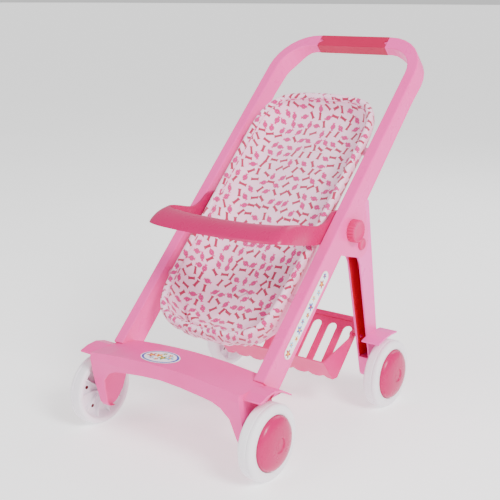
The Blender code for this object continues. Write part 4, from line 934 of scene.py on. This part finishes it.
    def piping(self) -> bpy.types.Object:
        """The corded seam just inside the rolled rim."""
        rim = self.rim()
        runs = self.run_lengths(rim)
        bm = bmesh.new()
        uv = bm.loops.layers.uv.new("cloth")
        rings = []
        for place, run in zip(rim, runs):
            centre = self.at(place, self.wall + self.pad + self.cord, 1.2 * MM)
            inward = (self.at(place, 1.0 * MM, 0.0) - self.at(place, 0.0, 0.0)).normalized()
            ripple = OUT * self.pleat(run, self.footness(place)) * 0.3
            rings.append([centre + ripple + inward * self.cord * cos(angle) + OUT * self.cord * sin(angle)
                          for angle in turns(self.cord_sides)])
        skin(bm, rings, closed=True)
        self.lay_flat(bm, uv, [Vector((run, 0.7 * MM * step)) for run in runs
                               for step in range(self.cord_sides)])
        return add_piece("rim_piping", bm, [Shade.PIPING], 180.0)


# ---------------------------------------------------------------- stickers

def petal_flower(bm: bmesh.types.BMesh, place: Callable[[float, float], Vector], lift: Vector,
                 centre: tuple[float, float], radius: float, slots: tuple[int, int]) -> None:
    """A five-petalled flower with a round eye, raised from a surface.

    Args:
        bm: The bmesh that gets the faces.
        place: Turns flat (a, b) metres into a point on the surface.
        lift: How far the flower stands proud.
        centre: Flat middle of the flower.
        radius: Reach of its petals.
        slots: Material slots of petals and eye.
    """
    for slot, reach, lobes, height in ((slots[0], radius, 5, 1.0), (slots[1], radius * 0.34, 0, 1.6)):
        ring = []
        for angle in turns(40):
            wave = 0.72 + 0.28 * cos(lobes * angle) if lobes else 1.0
            ring.append((centre[0] + reach * wave * cos(angle), centre[1] + reach * wave * sin(angle)))
        base = [place(a, b) for a, b in ring]
        skin(bm, [base, [point + lift * height for point in base]], slot=slot)


@dataclass
class LegDecal:
    """The long round-ended sticker on a leg, with flowers and leaves."""

    label: str
    side: int
    start: float = 46.0 * MM
    end: float = 181.0 * MM
    width: float = 17.0 * MM
    out: float = -20.0 * MM
    face: float = 130.45 * MM

    def build(self) -> None:
        """Make and dress the sticker."""
        bm = bmesh.new()
        outward = Vector((self.side, 0.0, 0.0))

        def place(a: float, b: float) -> Vector:
            return on_frame(self.side * self.face, self.start + a, self.out + b)

        radius = self.width / 2.0
        length = self.end - self.start
        for inset, slot, rise in ((0.0, 0, 0.35 * MM), (1.0 * MM, 1, 0.42 * MM)):
            ring = []
            for middle, begin in ((length - radius, -pi / 2), (radius, pi / 2)):
                for share in shares(12):
                    angle = begin + pi * share
                    ring.append((middle + (radius - inset) * cos(angle), (radius - inset) * sin(angle)))
            base = [place(a, b) for a, b in ring]
            skin(bm, [base, [p + outward * rise for p in base]], slot=slot)
        slots = ((4, 5), (2, 5), (5, 4), (3, 5), (2, 4), (4, 5), (3, 4), (5, 2), (2, 5), (4, 5), (3, 4))
        lift = outward * 0.16 * MM
        for i, pair in enumerate(slots):
            along = 8.0 * MM + i * (length - 16.0 * MM) / (len(slots) - 1)
            sway = (2.4 * MM) * sin(i * 2.1)
            reach = (6.2 if i % 3 == 0 else 4.2) * MM
            petal_flower(bm, lambda a, b: place(a, b) + outward * 0.40 * MM, lift, (along, sway), reach,
                         pair)
        piece = add_piece(f"flower_strip_{self.label}", bm,
                          [Shade.CREAM, Shade.WHITE, Shade.SKY, Shade.BLUE, Shade.RED, Shade.YELLOW])
        finish_piece(piece, "frame", [f"leg_decal_{self.label}"])


@dataclass
class Badge:
    """The oval badge on the crossbar's deck: ringed in blue, with a row of flowers."""

    length: float = 60.0 * MM
    depth: float = 42.0 * MM
    shift: tuple[float, float] = (-3.0 * MM, -3.5 * MM)
    bar_half: float = 128.0 * MM
    bar_middle: float = 126.0 * MM
    bar_end: float = 117.0 * MM

    def build(self) -> None:
        """Make and dress the badge."""
        middle = middle_of("badge")
        crown = self.bar_middle - self.bar_end

        def place(a: float, b: float) -> Vector:
            x = middle.x + self.shift[0] + a
            deck = self.bar_middle - crown * (x / self.bar_half) ** 2
            return Vector((x, middle.y + self.shift[1] + b, deck + 0.3 * MM))

        bm = bmesh.new()
        up = Vector((0.0, 0.0, 1.0))
        layers = ((1.0, 0, 0.35), (0.94, 1, 0.45), (0.83, 2, 0.55))
        for scale, slot, rise in layers:
            self.oval(bm, place, scale, slot, rise * MM)
        flowers = ((-15.0, 0.0, 7.2, 4), (-5.0, 3.0, 6.4, 5), (5.5, -2.0, 7.0, 6), (15.0, 1.5, 6.4, 3),
                   (-9.0, -8.0, 4.0, 3), (0.5, -9.5, 3.6, 4), (10.0, 9.5, 3.8, 4), (-1.0, 11.0, 3.6, 6))
        for a, b, reach, slot in flowers:
            petal_flower(bm, lambda p, q: place(p, q) + up * 0.53 * MM, up * 0.12 * MM,
                         (a * MM, b * MM), reach * MM, (slot, 5 if slot != 5 else 4))
        piece = add_piece("oval_badge", bm, [Shade.WHITE, Shade.BLUE, Shade.WHITE, Shade.SKY, Shade.RED,
                                             Shade.YELLOW, Shade.GREEN])
        finish_piece(piece, "frame", ["badge"])

    def oval(self, bm: bmesh.types.BMesh, place: Callable[[float, float], Vector], scale: float,
             slot: int, rise: float) -> None:
        """One oval layer, built in strips so that it follows the deck."""
        blunt = 0.06
        rings = []
        for share in shares(28):
            angle = lerp(blunt, pi - blunt, share)
            a = -self.length / 2.0 * scale * cos(angle)
            b = self.depth / 2.0 * scale * sin(angle)
            low = [place(a, -b), place(a, b)]
            up = Vector((0.0, 0.0, rise))
            rings.append([low[0], low[1], low[1] + up, low[0] + up])
        skin(bm, rings, slot=slot)


# ---------------------------------------------------------------- tray

@dataclass
class Tray:
    """The tray that swings on the knobs: two arms, a crowned brim and a ring at each end."""

    inner: float = 107.6
    outer: float = 112.9
    wall: float = 2.5
    full: float = 5.3
    brim: float = 0.25
    ring_radius: float = 14.0
    ring_proud: float = 0.4
    hole: float = 4.4
    smoothing: int = 7
    crown: int = 9

    def stations(self) -> list[tuple[Vector, Vector, Vector]]:
        """Top edge, low edge and (flat width, hollowness) along the right half, in mm from the knob."""
        near = self.inner
        far = self.outer
        brim = self.brim
        rows = ((near, 2, 26, far, 2, -13.2, self.full, 0), (near, -18, 27, far, -18, -13, self.full, 0),
                (near, -34, 17.5, far, -38, -12.6, 0.95 * self.full, 0),
                (near, -50, 13.3, far, -56, -10.8, 0.7 * self.full, 0.1),
                (near, -67, 15, far + 0.3, -72, -9, 0.45 * self.full, 0.3),
                (near, -84, 19, far + 0.8, -88, -6, 0.3 * self.full, 0.6),
                (near - 0.3, -98, 22, far + 2, -108, -2.2, brim * self.full, 1),
                (near - 2.5, -110, 23.6, far + 2.6, -128, 2.4, brim * self.full, 1),
                (near - 9, -116, 23.6, far - 2, -147, 6, brim * self.full, 1),
                (near - 24, -121, 22.6, far - 22, -156.5, 6, brim * self.full, 1),
                (near - 58, -126, 21.5, far - 58, -162, 6, brim * self.full, 1),
                (0, -128, 21, 0, -164, 6, brim * self.full, 1))
        return [(Vector(row[:3]), Vector(row[3:6]), Vector((row[6], row[7], 0.0))) for row in rows]

    def section(self, top: Vector, low: Vector, width: float, hollow: float) -> Ring:
        """Closed section with a crowned outer face, in mm from the knob."""
        towards = Vector((low.x - top.x, low.y - top.y, 0.0))
        towards = towards.normalized() if hollow > 0.05 else Vector((1.0, 0.0, 0.0))
        down = Vector((0.0, 0.0, -1.0))
        rim = top + towards * width
        across = low - rim
        bulge = across.cross(Vector((-towards.y, towards.x, 0.0))).normalized()
        if bulge.dot(towards) < 0.0:
            bulge = -bulge
        rise = lerp(0.25, min(4.2, across.length * 0.12), hollow)
        face = []
        for share in shares(self.crown):
            face.append(rim + across * share + bulge * rise * sin(pi * share) ** 0.8)
        lip = low + down * 0.9 + towards * 0.1
        under = lerp(1.0, 0.0, hollow)
        flat = [low.lerp(Vector((top.x, top.y, low.z)), i / self.crown) for i in range(1, self.crown + 1)]
        shaped = []
        for i, point in enumerate(reversed(face[:-1])):
            share = i / (self.crown - 1)
            shaped.append(point - bulge * self.wall + down * lerp(0.2, 0.8, share))
        closing = [bent.lerp(plain, under) for bent, plain in zip(shaped, flat)]
        soft_top = [top + down * 1.3, top + down * 0.35 + towards * 0.1, top + towards * 0.7]
        return soft_top + [rim - towards * 0.2] + face + [lip] + closing

    def build(self) -> None:
        """Make and dress the tray."""
        middle = middle_of("knob_left")
        hinge = Vector((0.0, middle.y, middle.z))
        tops, lows, shapes = ([row[i] for row in self.stations()] for i in range(3))
        rows = zip(*(smooth_path(path, self.smoothing) for path in (tops, lows, shapes)))
        right = [self.section(top, low, shape.x, min(1.0, max(0.0, shape.y))) for top, low, shape in rows]
        left = [[Vector((-p.x, p.y, p.z)) for p in ring] for ring in reversed(right[:-1])]
        rings = [[hinge + point * MM for point in ring] for ring in right + left]
        bm = bmesh.new()
        skin(bm, rings)
        for _, side in SIDES:
            long = self.outer - self.inner + 2.0 * self.ring_proud
            profile = fillet([(self.hole, 0.0, 0.3), (self.ring_radius, 0.0, 1.0),
                              (self.ring_radius, long, 1.0), (self.hole, long, 0.3)])
            start = hinge + Vector((side * (self.inner - self.ring_proud) * MM, 0.0, 0.0))
            turned(bm, profile, start, side, 64)
        piece = add_piece("snack_tray", bm, [Shade.MAGENTA], 48.0)
        finish_piece(piece, "tray", ["tray"])


# ---------------------------------------------------------------- frame trim

@dataclass
class LegBead:
    """The fine raised bead that runs along the back edge of a leg's outer face."""

    label: str
    side: int
    face: float = 130.2 * MM
    foot_depth: float = 39.5 * MM
    top_depth: float = 27.0 * MM
    length: float = 584.0 * MM
    width: float = 1.5 * MM
    proud: float = 0.35 * MM
    runs: tuple[tuple[float, float], ...] = ((4.0 * MM, 222.0 * MM), (306.0 * MM, 482.0 * MM))
    section: tuple[tuple[float, float], ...] = ((0.0, -0.1), (0.0, 0.5), (0.28, 1.0), (0.72, 1.0),
                                                (1.0, 0.5), (1.0, -0.1))

    def build(self) -> None:
        """Make and dress both lengths of the bead."""
        bm = bmesh.new()
        for start, end in self.runs:
            rings = []
            for share in shares(24):
                up = lerp(start, end, share)
                back = 2.4 * MM - lerp(self.foot_depth, self.top_depth, up / self.length)
                rings.append([on_frame(self.side * (self.face + rise * self.proud), up,
                                       back + out * self.width) for out, rise in self.section])
            skin(bm, rings)
        piece = add_piece(f"leg_bead_{self.label}", bm, [Shade.FRAME], 60.0)
        finish_piece(piece, "frame")


# ---------------------------------------------------------------- rear legs

@dataclass
class ChannelShadeLining:
    """A deep red lining sheet inside a rear leg's open channel: painted shade for the channel's shadowed,
    pink-reflecting hollow.
    """

    label: str
    side: int
    inner_top: float = 105.5 * MM
    inner_foot: float = 107.5 * MM
    outer: float = 127.4 * MM
    wall: float = 2.4 * MM
    low_end: float = 73.0 * MM
    high_end: float = 238.0 * MM
    axle_height: float = 50.0 * MM

    def build(self) -> None:
        """Make and dress the lining."""
        clear = 0.12 * MM
        thick = 0.3 * MM
        pivot_y, pivot_z = 44.4 * MM, 254.5 * MM
        rear_top = Vector((pivot_y + 30.0 * MM, pivot_z + 12.5 * MM))
        rear_foot = Vector((112.1 * MM, self.axle_height))
        front_top = Vector((pivot_y + 3.5 * MM, pivot_z - 30.5 * MM))
        front_foot = Vector((89.4 * MM, self.axle_height))
        rings = []
        for step in shares(12):
            z = lerp(self.low_end, self.high_end, step)
            share = (z - self.axle_height) / (pivot_z - self.axle_height)
            inner = lerp(self.inner_foot, self.inner_top, share) + self.wall + clear
            outer = self.outer - self.wall - clear
            back = lerp(rear_foot.x, rear_top.x, (z - rear_foot.y) / (rear_top.y - rear_foot.y))
            back -= self.wall + clear + 0.2 * MM
            front = lerp(front_foot.x, front_top.x, (z - front_foot.y) / (front_top.y - front_foot.y))
            front += 1.2 * MM
            around = ((inner, front), (inner, back), (outer, back), (outer, front),
                      (outer - thick, front), (outer - thick, back - thick),
                      (inner + thick, back - thick), (inner + thick, front))
            rings.append([Vector((self.side * x, y, z)) for x, y in around])
        bm = bmesh.new()
        skin(bm, rings)
        for share in (0.25, 0.5, 0.75):
            self.rib(bm, rings[10:], share)
        # painted shade: the lining and its ribs take the deep red shadow colour
        piece = add_piece(f"channel_shade_lining_{self.label}", bm, [Shade.CHANNEL_SHADE])
        finish_piece(piece, "rear_legs")

    def rib(self, bm: bmesh.types.BMesh, rings: Sequence[Ring], share: float) -> None:
        """One upright stiffening rib inside the top of the channel, in the same painted shade."""
        half = 0.8 * MM
        stack = []
        for ring in rings:
            middle = ring[6].lerp(ring[5], share)
            front = Vector((0.0, -13.0 * MM, 0.0))
            across = Vector((half, 0.0, 0.0))
            stack.append([middle - across, middle + across, middle + across + front,
                          middle - across + front])
        skin(bm, stack)


# ---------------------------------------------------------------- carried-over nodes

@dataclass
class MouldedParts:
    """The nodes that keep their shape: moulded ones get rounded edges and a finish, small fittings only a
    finish.
    """

    edges: tuple[tuple[str, Shade, float], ...] = (
        ("frame_hoop", Shade.FRAME, 0.7 * MM), ("front_crossbar", Shade.CROSSBAR, 0.9 * MM),
        ("rear_leg_left", Shade.REAR_LEG, 0.6 * MM), ("rear_leg_right", Shade.REAR_LEG, 0.6 * MM),
        ("basket", Shade.BASKET, 0.6 * MM), ("handle_grip", Shade.GRIP, 0.5 * MM),
        ("seat_shell", Shade.SHELL, 0.4 * MM))

    def build(self) -> None:
        """Round and dress the moulded nodes, and dress the small fittings."""
        for node, shade, width in self.edges:
            soften(node, width)
            dress(node, shade)
        for label, _ in SIDES:
            for part in ("pivot_washer", "knob_nut", "crossbar_screw", "axle_front", "axle_rear"):
                dress(f"{part}_{label}", Shade.STEEL)
            dress(f"basket_pin_{label}", Shade.KNOB)


# ---------------------------------------------------------------- studio

@dataclass
class Studio:
    """Pale floor, soft lights and the camera."""

    focal: float = 71.44
    eye: tuple[float, float, float] = (0.8136, -1.1257, 0.5827)
    aim: tuple[float, float, float] = (0.1260, -0.2089, 0.2952)
    roll: float = radians(0.23)
    sensor: float = 36.0
    around: float = 0.75
    floor_reach: float = 200.0
    floor_glow: float = 0.7
    lamp_aim: tuple[float, float, float] = (0.0, 0.0, 0.25)

    def build(self) -> None:
        """Make the camera, the floor, the lights and the surrounding light."""
        lens = bpy.data.cameras.new("studio_camera")
        lens.lens = self.focal
        lens.sensor_width = self.sensor
        camera = bpy.data.objects.new("studio_camera", lens)
        bpy.context.scene.collection.objects.link(camera)
        look = (Vector(self.aim) - Vector(self.eye)).to_track_quat("-Z", "Y")
        camera.rotation_mode = "QUATERNION"
        camera.rotation_quaternion = look @ Quaternion((0.0, 0.0, 1.0), self.roll)
        camera.location = self.eye
        bpy.context.scene.camera = camera
        self.floor()
        self.light("key", (1.9, -0.7, 1.7), 0.8, 72.0)
        self.light("fill", (-0.7, -1.9, 1.7), 1.2, 20.0)
        self.light("rear", (0.2, 1.8, 1.6), 1.2, 16.0)
        world = bpy.data.worlds.new("studio")
        world.use_nodes = True
        back = world.node_tree.nodes["Background"]
        back.inputs["Color"].default_value = (1.0, 1.0, 1.0, 1.0)
        back.inputs["Strength"].default_value = self.around
        bpy.context.scene.world = world

    def floor(self) -> None:
        """The plain pale floor."""
        bm = bmesh.new()
        bmesh.ops.create_grid(bm, x_segments=1, y_segments=1, size=self.floor_reach)
        mesh = bpy.data.meshes.new("floor")
        bm.to_mesh(mesh)
        bm.free()
        floor = bpy.data.objects.new("floor", mesh)
        bpy.context.scene.collection.objects.link(floor)
        graph = Graph("floor_white")
        share = graph.between(graph.noise(graph.place(), 3.0, 2.0), 0.3, 0.7, 0.0, 1.0)
        paint = graph.mix(share, (0.93, 0.93, 0.93), (0.91, 0.91, 0.91))
        graph.feed(graph.shader.inputs["Base Color"], paint)
        graph.shader.inputs["Roughness"].default_value = 0.9
        graph.shader.inputs["Emission Color"].default_value = (1.0, 1.0, 1.0, 1.0)
        graph.shader.inputs["Emission Strength"].default_value = self.floor_glow
        mesh.materials.append(graph.material)

    def light(self, name: str, place: tuple[float, float, float], size: float, power: float) -> None:
        """A square soft light aimed at the stroller."""
        lamp = bpy.data.lights.new(name, "AREA")
        lamp.size = size
        lamp.energy = power
        lit = bpy.data.objects.new(name, lamp)
        bpy.context.scene.collection.objects.link(lit)
        lit.location = place
        aim = Vector(self.lamp_aim) - Vector(place)
        lit.rotation_euler = aim.to_track_quat("-Z", "Y").to_euler()


def main() -> None:
    """Build every sub-assembly."""
    logging.basicConfig(level=logging.INFO)
    Studio().build()
    MouldedParts().build()
    Tray().build()
    SeatCover().build()
    Badge().build()
    for label, side in SIDES:
        for end in ("front", "rear"):
            Wheel(end, label, side).build()
        Knob(label, side).build()
        PivotPin(label, side).build()
        LegDecal(label, side).build()
        LegBead(label, side).build()
        ChannelShadeLining(label, side).build()


if __name__ == "__main__":
    main()
